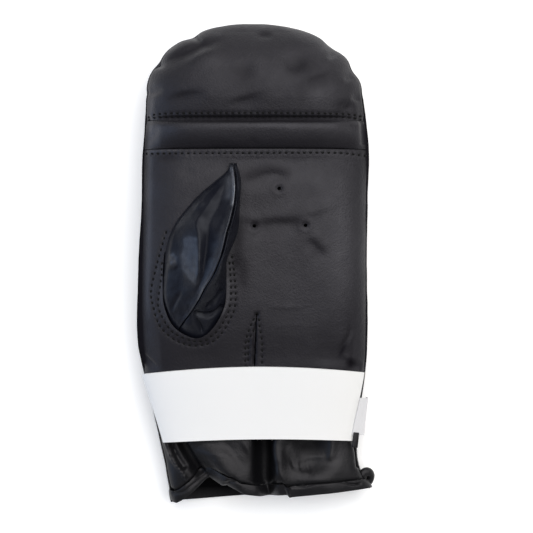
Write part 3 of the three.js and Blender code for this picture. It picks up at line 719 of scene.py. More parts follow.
def backAlongs(v):
    first = joinAt + form["gap"] / 2
    return overTip(first, (capAt - first) / (tipAt - first) * backLook["bend"], v)


def backOuter(u, v):
    points = gloveAt(backAlongs(v), backTurn(u))
    points[:, 2] = np.maximum(points[:, 2], 0)
    return points


def backInner(u, v):
    along, turn = backAlongs(v), backTurn(u)
    section = sectionAt(along)
    seam = form["seamTurn"]
    fromSeam = np.minimum(turn - (180 - seam), 360 + seam - turn) / (90 + seam)
    padShare = (section["pad"] - skin) / (form["pad"] - skin)
    side = skin + (form["sidePad"] - skin) * padShare * ease(2 * fromSeam)
    room = section["side"] - np.maximum(0, section["floor"]) - section["pad"]
    back = section["side"] - section["floor"] - np.maximum(0.05 * section["side"], room)
    return gloveAt(along, turn, side=side, palm=skin, back=back, tip=form["fingerPad"])


def backHeight(places, u, v):
    height = seamRoll(u, v, backLook, top=False) + waves(places, (0.5, 26, 1), (0.12, 7, 2))
    return height * ease((places[:, 2] - 0.2) / 6) - 0.05


backPad = paddedPiece("backPad", backLook, backOuter, backInner, backHeight)
# The back pad gets the painted shade and highlight of the edges too
finished(backPad, "black_leather", ["back_pad"], blackLeather, {"plain": 0.8, "rows": edgePaintedLight},
         fill=backLook["fill"])
print("back made")


# Padded cover over the fingertips

fingerLook = {"columns": 150, "rows": 84, "around": 150, "long": 60, "dip": 1.1, "reach": 1.6,
              "bend": 0.22, "fill": 0.7}
barTop = fingerAt - 1.5
fingerDents = [
    crease([(-57, 109), (-42, 117), (-28, 122.5), (-12, 126)], 2.2, 5, -2.2),
    crease([(-40, 112), (-28, 117), (-16, 121)], 4, 6, 1.2),
    crease([(-1, 127.6), (12, 127.2)], 2, 2, -0.7),
    crease([(-6, 115), (-4.5, 100)], 5, 6, -0.9),
    crease([(16, 106), (24, 112), (31, 112)], 6, 5, -1.3),
    crease([(24, 99), (38, 102.5), (46, 107)], 3, 5, -1.2),
    crease([(-52, 89.5), (-40, 93), (-24, 94.5)], 2, 4, -1.0),
    crease([(-17, 87), (-5, 90.5), (8, 94.5)], 2, 4, -0.8),
    crease([(14, 128), (34, 121), (48, 108)], 6, 8, 0.7),
    crease([(46, 86), (57, 88)], 3, 3, -1.2),
    crease([(-62, 96), (-50, 97)], 2, 2.5, -1.2),
    crease([(-58, 113), (-50, 110)], 1.6, 2, -1.3),
    crease([(-35, 129.5), (-29, 123)], 1.6, 2, -1.2),
    crease([(46.5, 119.5), (40, 113)], 1.8, 2, -1.1),
    crease([(57, 105.5), (49, 102)], 1.8, 2, -1.0),
    crease([(60.5, 91.5), (53, 93)], 1.8, 2, -0.9),
]
fingerGrooves = rowGrooves("fingers")
fingerTurn = evenTurns(*palmTurns, fingerAt + 8)


def fingerAlongs(v):
    return overTip(barTop + form["gap"] / 2, fingerLook["bend"], v)


def fingerOuter(u, v):
    return gloveAt(fingerAlongs(v), fingerTurn(u)) + overBack


def fingerInner(u, v):
    turn = fingerTurn(u)
    middle = ease((np.minimum(turn, 180 - turn) - form["fadeTurn"]) / (90 - form["fadeTurn"]))
    palm = skin + (form["fingerPad"] - skin) * middle
    return gloveAt(fingerAlongs(v), turn, side=skin, palm=palm, tip=form["fingerPad"],
                   raised=0) + overBack


def fingerHeight(places, u, v):
    height = seamRoll(u, v, fingerLook, top=False) + waves(places, (0.35, 17, 3), (0.08, 5, 4)) \
        + creased(places, fingerDents)
    return height * ease((1 - v) / 0.1) + creased(places, fingerGrooves)


fingerPanel = paddedPiece("fingerPanel", fingerLook, fingerOuter, fingerInner, fingerHeight)
finished(fingerPanel, "black_leather", ["finger_panel"], blackLeather, fingerPaintedLight, fill=fingerLook["fill"])
print("finger cover made")


# Grip bar

barLook = {"columns": 150, "rows": 24, "around": 165, "long": 17, "dip": 0.9, "reach": 1.3, "fill": 0.8}
gripSeam = {"depth": 0.4, "width": 0.9}  # a sharper dip beside the seam between bar and palm
barTurn = evenTurns(*palmTurns, (gripAt + fingerAt) / 2)
barFirst, barLast = gripAt + form["gap"] / 2, barTop - form["gap"] / 2
barDents = [
    crease([(-52, 74), (-20, 73), (20, 73), (50, 74)], 3, 3, -0.35),
    crease([(-60, 66), (-54, 78)], 2, 3, -0.7),
    crease([(60.5, 81), (61, 66)], 1, 1.4, -1.1, 0.05),
    crease([(44, 78.5), (54, 76), (57, 71)], 2, 2.5, -0.6),
    crease([(-4, 66), (2, 69)], 2, 2, -0.3),
]


def barHeight(places, u, v):
    rolled = seamRoll(u, v, barLook, bottom=False) \
        - gripSeam["depth"] * bell(v * barLook["long"] / gripSeam["width"])
    return rolled + waves(places, (0.22, 14, 5), (0.06, 4, 6)) + creased(places, barDents)


def barOuter(u, v):
    return gloveAt(barFirst + (barLast - barFirst) * v, barTurn(u)) + overBack


def barInner(u, v):
    return gloveAt(barFirst + (barLast - barFirst) * v, barTurn(u), side=skin, palm=skin, raised=0) + overBack


gripBar = paddedPiece("gripBar", barLook, barOuter, barInner, barHeight)
finished(gripBar, "black_leather", ["grip_bar"], blackLeather, barPaintedLight, fill=barLook["fill"])
print("grip bar made")


# Palm, with the thumb's hole, the vents and the slit of the dart

palmLook = {"columns": 190, "rows": 166, "thickness": skin,
            "around": 165, "long": 144, "dip": 1.2, "reach": 1.6}
palmTurn = evenTurns(*palmTurns, wristAt + 0.6 * form["palm"])
palmFirst, palmLast = joinAt + form["gap"] / 2, gripAt - form["gap"] / 2
ventLook = {"places": [(13.5, 41.8), (-0.3, 21.0), (28.2, 21.3)], "radius": 1.0, "dip": 0.9, "rim": 0.3}
slitLook = {"x": 0.3, "y": -43, "wide": 0.6, "long": 30, "lean": 2.5}
palmFolds = [
    crease([(-9, 45.5), (-1, 50), (7.3, 53), (15.2, 52.5), (24, 47.5)], 5, 2.4, 0.75),
    crease([(-9, 42.5), (0, 46.5), (8, 49), (15, 48.5), (23, 44.5)], 2.4, 6, -0.6, 0.35),
    crease([(-11, 28.5), (1.8, 26), (10.8, 26.8), (24.4, 27.4), (38, 31), (52, 35)], 6, 2.6, 0.6, 0.35),
    crease([(-11, 23), (1.8, 20.6), (10.8, 21.4), (24.4, 22.2), (33, 22)], 2.6, 6, -0.5, 0.4),
    crease([(28.9, 18.5), (34, 14), (42, 6)], 4, 2.4, 0.45, 0.35),
    crease([(27, 14), (33, 9.5), (40, 2)], 2.2, 5, -0.5, 0.35),
    crease([(-43, 50.6), (-31.7, 50.6)], 2.5, 2.5, -0.35),
    crease([(-56, 58.2), (-38, 59.6)], 2, 2, -0.5),
    crease([(-9.5, 12), (-8.5, -8), (-6.5, -22)], 4, 3, -1.1),
    crease([(3, -22.6), (14, -24.2), (32, -24.4)], 1.6, 1.0, 0.2),
    crease([(53.3, -28), (53.5, -39), (49.5, -46), (44.6, -53.5)], 0.9, 1.6, -0.8),
    crease([(50.7, -55.4), (60.3, -58.8)], 2.4, 2.4, -1.5),
    crease([(48, -50), (55, -54), (61, -54)], 1.6, 1.2, 0.7),
    crease([(-66, -48), (-60, -53.8), (-52.5, -60.5)], 1.2, 1.6, -1.1),
    crease([(-66, -56), (-60, -59.5)], 1.2, 1.2, -0.7),
    crease([(-64, 60), (-63, 20), (-63.4, -20), (-62, -45)], 2, 2, 0.3),
]
holeEdge = [
    (-50.4, 6), (-51.3, -3), (-51.4, -14.8), (-50.7, -23.3), (-46.8, -33.4), (-39.5, -39.6), (-31, -41.6),
    (-23.1, -35.7), (-16.9, -24), (-15.9, -11), (-16.3, 2),
]
thumbLip = [crease(holeEdge, 2.2, 2.4, 0.9, 0.1)]
dartLip = [
    crease([(1.4, -27), (0.3, -36.2), (0.3, -43), (-0.3, -57.7)], 0.7, 1.2, -1.2, 0.05),
    crease([(0.6, -29), (-1, -36.2), (-1.6, -43), (-2, -57.7)], 1.0, 0.8, 0.45, 0.05),
]
palmGrooves = rowGrooves("bar", "thumbInner", "thumbOuter", "dart")


def palmHeight(places, u, v):
    rolled = seamRoll(u, v, palmLook, top=False) \
        - gripSeam["depth"] * bell((1 - v) * palmLook["long"] / gripSeam["width"])
    wrinkled = bell((places[:, 0] + 45) / 14) * bell((places[:, 1] - 8) / 26) \
        + bell((places[:, 0] - 4) / 10) * bell((places[:, 1] - 12) / 7) \
        + bell((places[:, 0] - 30) / 26) * bell((places[:, 1] + 34) / 9)
    wrinkles = 0.12 * bumpy(places, 3, 9, stretch=(2.6, 0.8, 1)) * wrinkled
    holes = np.zeros(len(places))
    for x, y in ventLook["places"]:
        away = np.hypot(places[:, 0] - x, places[:, 1] - y)
        holes += ventLook["rim"] * bell((away - 3.2) / 1.5) - ventLook["dip"] * bell(away / 1.6)
    return rolled + waves(places, (0.3, 19, 7), (0.07, 5, 8)) + wrinkles + holes \
        + creased(places, palmFolds + thumbLip + dartLip + palmGrooves)


def palmSurface(u, v):
    return gloveAt(palmFirst + (palmLast - palmFirst) * v, palmTurn(u)) + overBack


palmPanel = sheetPiece("palmPanel", palmLook, palmSurface, palmHeight)


def cutBy(thing, cutters):
    for cutter in cutters:
        applyModifier(thing, "BOOLEAN", operation="DIFFERENCE", object=cutter, solver="EXACT")
        bpy.data.objects.remove(cutter)


def holeCutter():  # a block with the hole's outline
    path = smoothPath(holeEdge + [(-22, 8.5), (-36, 11), (-46, 9.5), holeEdge[0]], each=4)[:-1]
    deselectAll()
    bpy.ops.mesh.primitive_cylinder_add(vertices=len(path), radius=1, depth=60 * mm, location=(0, 0, 50 * mm))
    cutter = bpy.context.object
    points = pointsOf(cutter)
    turns = np.arctan2(points[:, 0], points[:, 1]) / (2 * np.pi) % 1
    points[:, :2] = path[np.round(turns * len(path)).astype(int) % len(path)] * mm
    setPoints(cutter, points)
    outwards(cutter)
    return cutter


def ventCutter(place):
    deselectAll()
    bpy.ops.mesh.primitive_cylinder_add(
        vertices=20, radius=ventLook["radius"] * mm, depth=40 * mm, location=metres(*place, 40))
    return bpy.context.object


def slitCutter():
    deselectAll()
    bpy.ops.mesh.primitive_cube_add(
        size=1, location=metres(slitLook["x"], slitLook["y"], 40),
        rotation=(0, 0, -math.radians(slitLook["lean"])),
        scale=metres(slitLook["wide"], slitLook["long"], 60))
    return bpy.context.object


cutBy(palmPanel, [holeCutter(), slitCutter()] + [ventCutter(place) for place in ventLook["places"]])
smoothByAngle(palmPanel)
finished(palmPanel, "black_leather", ["palm_panel"], blackLeather, palmPaintedLight,
         flat=(0.14, 0.146), held="stretched", rests_on=["backPad"], area=0.0186)
print("palm made")


# Thumb: two gores, lofted over stations from the tip down to the heel, with their seam allowances standing
# along the top. A station is y, the front gore's points and the side gore's; a point is x and the height
# over the palm, in mm.

thumbStations = [
    (55.6, [(-13.9, 3.4), (-13.8, 4.2), (-13.7, 5), (-13.6, 5.8), (-13.5, 6.4), (-13.4, 7), (-13.3, 7.6)],
     [(-10.9, 7), (-10.7, 6.2), (-10.5, 5.2), (-10.3, 4.2), (-10.3, 3.4)]),
    (51.5, [(-15.6, 0.6), (-15.4, 2.4), (-15, 4), (-14.5, 5), (-13.8, 5.8), (-12.8, 7), (-11.9, 8.6)],
     [(-10.4, 8.4), (-9.8, 7.2), (-9.2, 5.4), (-8.7, 3), (-8.9, 0.6)]),
    (46, [(-22, 0.4), (-21.2, 2.8), (-19.2, 5), (-17, 5.6), (-15.4, 6.4), (-13, 8.4), (-11, 10.4)],
     [(-9.6, 10.2), (-8.9, 8.6), (-8.2, 6.4), (-7.6, 3.4), (-7.9, 0.4)]),
    (39, [(-30.2, 0.4), (-29.2, 3.6), (-26, 6.8), (-21.5, 8.4), (-18, 8.2), (-13.6, 10.4), (-10.9, 12.8)],
     [(-9.6, 12.4), (-9, 10.2), (-8.4, 7.4), (-7.8, 4), (-8.1, 0.4)]),
    (31, [(-37.6, 0.4), (-36.4, 4.2), (-32, 8.2), (-26.5, 10.6), (-21, 9.8), (-15.4, 12.2), (-12, 15.2)],
     [(-10.6, 14.8), (-9.8, 12), (-9, 8.6), (-8.2, 4.6), (-8.4, 0.4)]),
    (23, [(-43.8, 0.4), (-42.4, 5), (-38, 8.8), (-32, 12.8), (-25.4, 11), (-18, 13.6), (-13.9, 17.4)],
     [(-12.4, 17), (-11.2, 13.8), (-10, 10), (-8.8, 5.2), (-8.8, 0.4)]),
    (16, [(-47.2, 0.4), (-45.4, 5.4), (-40.4, 9.4), (-31, 15), (-26, 12), (-20, 15), (-15.9, 18.8)],
     [(-14.5, 18.4), (-13, 15.4), (-11.6, 11.4), (-10, 6), (-10, 0.4)]),
    (9, [(-49.4, 0.2), (-47, 5.6), (-41, 9.2), (-30.6, 15.8), (-26.4, 12.4), (-21, 16), (-17.5, 19.6)],
     [(-16.2, 19.2), (-15, 16.8), (-13.9, 12.6), (-12.8, 7), (-12.8, 0.2)]),
    (2, [(-50.6, -0.8), (-48, 5.2), (-40.8, 8.8), (-30.8, 16), (-27.4, 13.4), (-22.6, 16.6), (-19.6, 19.6)],
     [(-18.4, 19.2), (-17.2, 17), (-16.2, 13), (-15.5, 6.6), (-15.8, -0.8)]),
    (-6, [(-51.6, -2), (-49.2, 4), (-40.4, 7.8), (-31.4, 15.2), (-28.4, 13.8), (-25.2, 16), (-23, 18.2)],
     [(-22, 17.8), (-20, 15.8), (-18, 12), (-16.4, 5.6), (-15.2, -2)]),
    (-13, [(-52.2, -2), (-50, 3.6), (-41, 6.6), (-33, 12), (-30.8, 12.6), (-28.8, 14), (-27.4, 15.6)],
     [(-26.6, 15.2), (-23.6, 13.6), (-20, 10), (-17.2, 4.4), (-14.8, -2)]),
    (-20, [(-51.8, -2), (-49.6, 2.6), (-44, 4.8), (-37.4, 7.4), (-34.8, 8.8), (-32.4, 10.4), (-31, 12)],
     [(-30.4, 11.8), (-26.8, 10.4), (-22.2, 7.6), (-18.4, 3.4), (-15, -2)]),
    (-26.5, [(-50.2, -2), (-48.2, 1.4), (-44, 3), (-40.4, 4.4), (-38, 5.4), (-36.2, 6.6), (-35.2, 7.6)],
     [(-34.6, 7.4), (-30, 5.6), (-25, 4.2), (-20.4, 2), (-16.8, -2)]),
    (-33, [(-47.6, -2), (-46, -0.4), (-44.4, 0.6), (-43, 1.6), (-41.8, 2.2), (-40.8, 2.8), (-40.2, 3)],
     [(-39.6, 2.8), (-35.6, 4.6), (-30.6, 2.6), (-25.4, 2), (-20.6, -2)]),
    (-38.5, [(-44.6, -2.8), (-44.4, -2.6), (-44.2, -2.4), (-44, -2.2), (-43.9, -2), (-43.8, -2),
             (-43.7, -2)],
     [(-42.4, -2.4), (-37.4, 0), (-32, 0.6), (-27, -0.6), (-23.2, -2.8)]),
    (-43.4, [(-44.6, -2.9), (-44.5, -2.9), (-44.4, -2.9), (-44.3, -2.9), (-44.2, -2.9), (-44.1, -2.9),
             (-44, -2.9)],
     [(-35.4, -2.8), (-33.4, -2.8), (-31, -2.8), (-29.4, -2.8), (-27.4, -2.8)]),
]
thumbLook = {"lip": 3.0, "lean": 0.5, "under": 0.5, "inHole": -2.6, "opening": 9, "round": 0.03}
frontLook = {"columns": 96, "rows": 150, "thickness": 1.0}
sideLook = {"columns": 130, "rows": 150, "thickness": 1.0}
frontShares = [0, 0.1, 0.28, 0.5, 0.66, 0.84, 0.94, 1]
sideShares = [0, 0.07, 0.16, 0.27, 0.39, 0.5, 0.54, 0.97, 1]
sideFoot = sideShares[5]  # from here on the side gore turns under


def thumbRows(gore):  # the stations' points as columns, with the seam's inner face and the underside
    rows = []
    for y, front, side in thumbStations:
        if gore == "front":
            x, height = front[-1]
            points = front + [(x + thumbLook["lean"], height - thumbLook["lip"])]
        else:
            x, height = side[0]
            left, right = front[0][0], side[-1][0]
            level = thumbLook["under"] if y > thumbLook["opening"] else thumbLook["inHole"]
            inside = min(1.5, 0.2 * (right - left))
            points = [(x - thumbLook["lean"], height - thumbLook["lip"])] + side \
                + [(right - inside, level), (left + inside, level), (left + 0.3 * inside, level + 0.4)]
        row = {"along": -y}
        for i, (x, height) in enumerate(points):
            row["x" + str(i)], row["h" + str(i)] = x, height
        rows.append(row)
    return rows


def goreSurface(gore, shares):  # the shares say where round the gore its columns lie
    rows = thumbRows(gore)
    top, foot = thumbStations[0][0], thumbStations[-1][0]
    shares = np.array(shares)
    steps = (-1, -0.5, 0, 0.5, 1)  # corners are rounded by a mean over five places

    def surface(u, v):
        along = -(foot + (top - foot) * v)
        stack = {kind: np.array([columnAt(rows, kind + str(i), along) for i in range(len(shares))])
                 for kind in ("x", "h")}
        x, height = np.zeros(len(u)), np.zeros(len(u))
        pick = np.arange(len(u))
        for step in steps:
            place = np.clip(u + step * thumbLook["round"] * np.minimum(1, np.minimum(u, 1 - u) / 0.03), 0, 1)
            i = np.clip(np.searchsorted(shares, place, side="right") - 1, 0, len(shares) - 2)
            t = (place - shares[i]) / (shares[i + 1] - shares[i])
            x += (stack["x"][i, pick] * (1 - t) + stack["x"][i + 1, pick] * t) / len(steps)
            height += (stack["h"][i, pick] * (1 - t) + stack["h"][i + 1, pick] * t) / len(steps)
        ground = topHeight(x + form["middleX"], tipAt / 2 - along) + form["gap"]
        return np.stack([x, -along, ground + height], axis=-1) * mm
    return surface


thumbDents = [
    crease([(-46.4, 5), (-45.6, 0.6), (-44.6, -4)], 2.2, 2.6, 1.5, 0.5),
    crease([(-36, 32), (-26, 34)], 2.5, 2.5, 0.7),
    crease([(-34.4, -28.4), (-31, -33), (-28.7, -39.5)], 0.9, 1.2, -1.7, 0.3),
    crease([(-35, -27), (-28.2, -28.4), (-22.5, -27.4), (-17, -22.5)], 1.0, 1.6, -2.2, 0.15),
    crease([(-28, -25.6), (-22, -20.5), (-16.5, -13.5)], 0.9, 1.2, -1.8, 0.2),
    crease([(-31, -23.8), (-24, -25), (-18, -20)], 1.6, 1.2, 1.0),
    crease([(-24, -14), (-19.5, -4), (-17.5, 8)], 1.4, 1.4, 0.5),
    crease([(-40, -14), (-44.5, -22), (-47, -28)], 1, 1.4, -0.8),
]


def thumbHeight(places, u, v):
    free = ease((48 - places[:, 1]) / 8)
    return free * (creased(places, thumbDents) + waves(places, (0.3, 9, 10), (0.1, 3.5, 11)))


def sideHeight(places, u, v):
    return thumbHeight(places, u, v) * ease((sideFoot - u) / 0.05)


def overOpening(u, v, middles):  # the underside stays out over the hole in the palm
    return (u > sideFoot) & (middles[:, 1] < thumbLook["opening"] + 1.5)


thumbFront = sheetPiece("thumbFront", frontLook, goreSurface("front", frontShares), thumbHeight)
finished(thumbFront, "thumb_leather", ["thumb_front"], thumbLeather, thumbPaintedLight,
         flat=(0.046, 0.12), held="gathered", rests_on=["palmPanel"], area=0.0032)
thumbSide = sheetPiece("thumbSide", sideLook, goreSurface("side", sideShares), sideHeight, overOpening)
finished(thumbSide, "thumb_leather", ["thumb_side"], thumbLeather, gorePaintedLight,
         flat=(0.06, 0.124), held="gathered", rests_on=["palmPanel"], area=0.0033)
print("thumb made")


# Cuff and its hems

cuffLook = {"columns": 150, "rows": 56, "thickness": 1.2, "around": 130, "long": 49, "dip": 0.8, "reach": 1.0}
cuffBackLook = {"columns": 150, "rows": 50, "thickness": 1.2}
hemLook = {"columns": 220, "rows": 20, "thickness": 1.9, "high": 6.6}
hemBackLook = {"columns": 150, "rows": 12, "thickness": 1.9}
cuffTurn = evenTurns(*palmTurns, form["cuff"] * 0.5)
cuffBackTurn = evenTurns(*backTurns, form["cuff"] * 0.5)
mouthPull = {  # how far the edge of the mouth is drawn up, from the left side to the right, in mm
    "across": [-1, -0.975, -0.94, -0.89, -0.79, -0.7, -0.64, -0.596, -0.555, -0.41, -0.265, -0.1, 0.05, 0.165,
               0.185, 0.75, 1],
    "lift": [1.8, 0.2, -0.4, 0.8, 4.6, 9.2, 12.2, 13, 12.2, 7.2, 2.2, 0.3, 0, 0, -1.5, -0.6, 0],
}
cuffDents = [
    crease([(-50.5, -99), (-46.8, -109.5), (-40.6, -118.5), (-38, -123.5)], 1.2, 1.0, 1.5, 0.1),
    crease([(-47.5, -99), (-43.5, -108), (-38, -116)], 1.6, 2.5, -2.6, 0.15),
    crease([(-42.4, -97), (-37.4, -106), (-32, -114.5), (-28, -118.5)], 2.4, 3.4, -3.4, 0.1),
    crease([(-37.6, -99), (-32.1, -110.2), (-25.4, -118), (-20.6, -121.4), (-15.6, -124.6)],
           5, 0.6, 2.4, 0.05),
    crease([(-20, -96), (-14, -104), (-8, -112), (-4, -120)], 2.2, 2.2, -0.7),
    crease([(-9, -96), (-4, -104), (0, -110)], 1.5, 2, 0.8),
    crease([(3, -93), (4.4, -108), (3, -124)], 4.5, 4.5, -3.0, 0.05),
    crease([(13, -96), (11, -104), (12, -114)], 3, 2.4, 0.9),
    crease([(17, -98), (18, -108), (20, -116)], 2, 2.2, -0.8),
    crease([(19.5, -103), (21, -110), (24, -118)], 1.3, 1.6, -0.9),
    crease([(16, -98), (30, -102), (46, -98)], 4, 4.5, -1.2),
    crease([(23, -111.6), (33, -108.6), (44, -110)], 1.6, 1.6, 0.6),
    crease([(24.5, -110.5), (27.5, -118.5)], 0.9, 0.9, -0.6),
    crease([(28.5, -112), (31.5, -118.5)], 0.9, 0.9, -0.5),
    crease([(43, -95), (43, -104), (41.5, -113)], 2.6, 1.4, 1.1, 0.3),
    crease([(55, -97), (57.5, -106), (58.5, -116)], 0.8, 1.2, -1.4, 0.1),
]
hemLines = [
    crease([(20, -125.2), (27, -125.3), (36, -123.2), (46, -122.2), (54, -124.2), (60, -124)],
           0.6, 0.6, -0.9, 0.03),
    crease([(18.6, -123), (19.2, -127), (19.8, -132)], 0.5, 1.4, 1.0, 0.05),
    crease([(-47, -129.4), (-40.6, -128.6), (-36.5, -125.5), (-30, -120.5), (-25, -117)],
           0.7, 0.7, -0.7, 0.05),
    crease([(-18.6, -121.5), (-13, -122.3), (-4.5, -122)], 0.6, 0.6, -0.6),
]


def pulledUp(points, along, turn):  # the front of the mouth rides up at the left
    level = np.cos(np.radians(turn))
    across = np.sign(level) * np.abs(level) ** (2 / form["palmRound"])
    share = np.clip((form["cuff"] - along) / (form["cuff"] - hemLook["high"]), 0, 1) ** 1.5
    points[:, 1] += np.interp(across, mouthPull["across"], mouthPull["lift"]) * mm * share
    return points


def cuffSurface(first, last, turns, proud, front):
    def surface(u, v):
        along = first + (last - first) * v
        turn = turns(u)
        points = gloveAt(along, turn, side=-proud, palm=-proud, back=-proud)
        if front:
            return pulledUp(points, along, turn) + overBack
        points[:, 2] = np.maximum(points[:, 2], (form["hemProud"] - proud) * mm)
        return points
    return surface


def cuffHeight(places, u, v):
    wrinkles = 0.3 * bumpy(places, 2.2, 23, stretch=(0.8, 2.4, 1)) \
        * bell((places[:, 0] - 27) / 9) * bell((places[:, 1] + 114) / 6)
    return wrinkles + waves(places, (0.35, 10, 12), (0.1, 3.5, 13)) + creased(places, cuffDents) \
        + seamRoll(u, v, cuffLook, top=False)


def cuffBackHeight(places, u, v):
    return waves(places, (0.4, 14, 14), (0.1, 5, 15)) * ease((places[:, 2] - 1.2) / 5)


def hemHeight(places, u, v):
    return 0.5 * np.sin(np.pi * v) ** 0.6 + 0.85 * creased(places, cuffDents) + creased(places, hemLines) \
        + 0.2 * bumpy(places, 6, 16)


def hemBackHeight(places, u, v):
    return 0.25 * np.sin(np.pi * v) * ease((places[:, 2] - 0.8) / 4)


cuffFirst, cuffLast = hemLook["high"] + form["gap"], joinAt - form["gap"] / 2
cuffFront = sheetPiece("cuffFront", cuffLook, cuffSurface(cuffFirst, cuffLast, cuffTurn, 0, True), cuffHeight)
finished(cuffFront, "cuff_leather", ["cuff_front"], cuffLeather, cuffPaintedLight,
         flat=(0.14, 0.05), held="gathered", rests_on=["cuffBack"], area=0.0064)
cuffBack = sheetPiece("cuffBack", cuffBackLook,
                      cuffSurface(hemLook["high"] + 0.01, cuffLast, cuffBackTurn, 0, False), cuffBackHeight)
# Painted shade inside the mouth of the cuff and along the rim where hem and cuff meet
insidePaintedShade = {"plain": 0.9, "rows": [
    crease([(-48, -126), (-25, -125), (0, -126)], 10, 12, -0.85, 0.02),
    crease([(-44, -125.8), (-25, -125), (-8, -125.2)], 1.6, 1.6, -0.6, 0.02),
]}
finished(cuffBack, "cuff_leather", ["cuff_back"], cuffLeather, insidePaintedShade,
         flat=(0.14, 0.05), held="laid", rests_on=["floor"], area=0.0063)
hemFront = sheetPiece("hemFront", hemLook,
                      cuffSurface(0, hemLook["high"], cuffTurn, form["hemProud"], True), hemHeight)
finished(hemFront, "cuff_leather", ["hem_front"], cuffLeather, cuffPaintedLight,
         flat=(0.142, 0.01), held="folded", rests_on=["cuffFront"], area=0.00113)
hemBack = sheetPiece("hemBack", hemBackLook,
                     cuffSurface(0, hemLook["high"], cuffBackTurn, form["hemProud"], False), hemBackHeight)
finished(hemBack, "cuff_leather", ["hem_back"], cuffLeather, insidePaintedShade,
         flat=(0.134, 0.01), held="folded", rests_on=["floor"], area=0.00106)
loopLook = {"x": 62.8, "y": -121.2, "z": 12.5, "major": 2.9, "minor": 2.4, "stretch": 1.15,
            "tilt": (0.35, 0.45, 0)}
deselectAll()
bpy.ops.mesh.primitive_torus_add(
    major_segments=48, minor_segments=16,
    major_radius=loopLook["major"] * mm, minor_radius=loopLook["minor"] * mm,
    location=metres(loopLook["x"], loopLook["y"], loopLook["z"]), rotation=loopLook["tilt"])
hemCurl = bpy.context.object
hemCurl.name = "hemCurl"
bpy.ops.object.transform_apply(location=True, rotation=True, scale=True)
curlPoints = pointsOf(hemCurl)
curlPoints[:, 1] = (curlPoints[:, 1] - loopLook["y"] * mm) * loopLook["stretch"] + loopLook["y"] * mm
curlPoints[:, 2] += 0.35 * mm * bumpy(curlPoints / mm, 3, 19)
curlPoints[:, 0] += 0.3 * mm * bumpy(curlPoints / mm, 4, 20)
setPoints(hemCurl, curlPoints)
smoothByAngle(hemCurl)
finished(hemCurl, "cuff_leather", [], cuffLeather)
print("cuff made")


# Elastic band and label

# The turns are those of the band's sides, at its foot and at its top
bandLook = {"columns": 120, "rows": 40, "thickness": 1.5, "leftTurns": (24, 9.3), "rightTurns": (27, 18.4),
            "leftSag": 1.0, "topSag": 0.5}
bandTurn = evenTurns(180 - bandLook["leftTurns"][1], bandLook["rightTurns"][1], joinAt)


def bandSurface(u, v):
    proud = form["gap"] + bandLook["thickness"]
    leftStep, rightStep = (bandLook[name][0] - bandLook[name][1] for name in ("leftTurns", "rightTurns"))
    turn = bandTurn(u) + (1 - v) * rightStep * u ** 4 - (1 - v) ** 0.6 * leftStep * (1 - u) ** 4
    along = form["cuff"] + form["band"] * v - bandLook["leftSag"] * (1 - u) ** 2 - bandLook["topSag"] * v
    return gloveAt(along, turn, side=-proud, palm=-proud, raised=0) + overBack


elasticBand = sheetPiece("elasticBand", bandLook, bandSurface,
                         lambda places, u, v: 0.12 * bumpy(places, 30, 17))
finished(elasticBand, "white_elastic", ["elastic_band"], whiteElastic,
         flat=(0.134, 0.042), held="stretched", rests_on=["palmPanel", "cuffFront"], area=0.0052)

labelLook = {"columns": 16, "rows": 24, "thickness": 0.7, "foot": 0.08, "long": 21, "turn": 31, "slant": 7,
             "droop": 36, "stand": 1.2, "lift": 1.2}


def labelSurface(u, v):
    along = form["cuff"] + labelLook["foot"] * form["band"] + labelLook["long"] * v
    proud = form["gap"] + bandLook["thickness"] + labelLook["stand"] + labelLook["lift"] * u
    turn = labelLook["turn"] - labelLook["slant"] * v - labelLook["droop"] * u
    return gloveAt(along, turn, side=-proud, palm=-proud, back=-proud)


sideLabel = sheetPiece("sideLabel", labelLook, labelSurface, lambda places, u, v: 0.1 * bumpy(places, 8, 18))
finished(sideLabel, "white_satin", ["side_label"], whiteSatin,
         flat=(0.019, 0.022), held="hung", rests_on=["cuffFront"], area=0.0004)

tabLook = {"x": 56.6, "y": -99.2, "wide": 3.4, "long": 8.6, "thick": 1.2,
           "tilt": 0.35, "turn": -0.1, "bevel": 0.5}
bandTree = BVHTree.FromObject(elasticBand, bpy.context.evaluated_depsgraph_get())
tabSpot = Vector(metres(tabLook["x"] - 2.6, tabLook["y"] + 2, castFrom))  # over the band's edge
tabFoot = bandTree.ray_cast(tabSpot, Vector((0, 0, -1)))[0]
deselectAll()
bpy.ops.mesh.primitive_cube_add(
    size=1, location=metres(tabLook["x"], tabLook["y"], tabFoot.z / mm + 0.4),
    rotation=(0, tabLook["tilt"], tabLook["turn"]),
    scale=metres(tabLook["wide"], tabLook["long"], tabLook["thick"]))
seamTab = bpy.context.object
seamTab.name = "seamTab"
bpy.ops.object.transform_apply(location=True, rotation=True, scale=True)
applyModifier(seamTab, "BEVEL", width=tabLook["bevel"] * mm, segments=3)
smoothByAngle(seamTab)
finished(seamTab, "cuff_leather", [], cuffLeather)
print("band and label made")


# Stitches

def stitchShape():
    deselectAll()
    bpy.ops.mesh.primitive_uv_sphere_add(segments=8, ring_count=6, radius=1, rotation=(0, math.pi / 2, 0))
    bpy.ops.object.transform_apply(location=False, rotation=True, scale=False)
    shape = bpy.context.object
    shape.name = "stitchShape"
    ball = pointsOf(shape)
    points = ball * np.array([stitchLook["long"], stitchLook["wide"], stitchLook["thick"]]) / 2
    points[:, 2] -= stitchLook["bend"] * ball[:, 0] ** 2
    setPoints(shape, points * mm)
    bpy.ops.object.shade_smooth()
    return shape


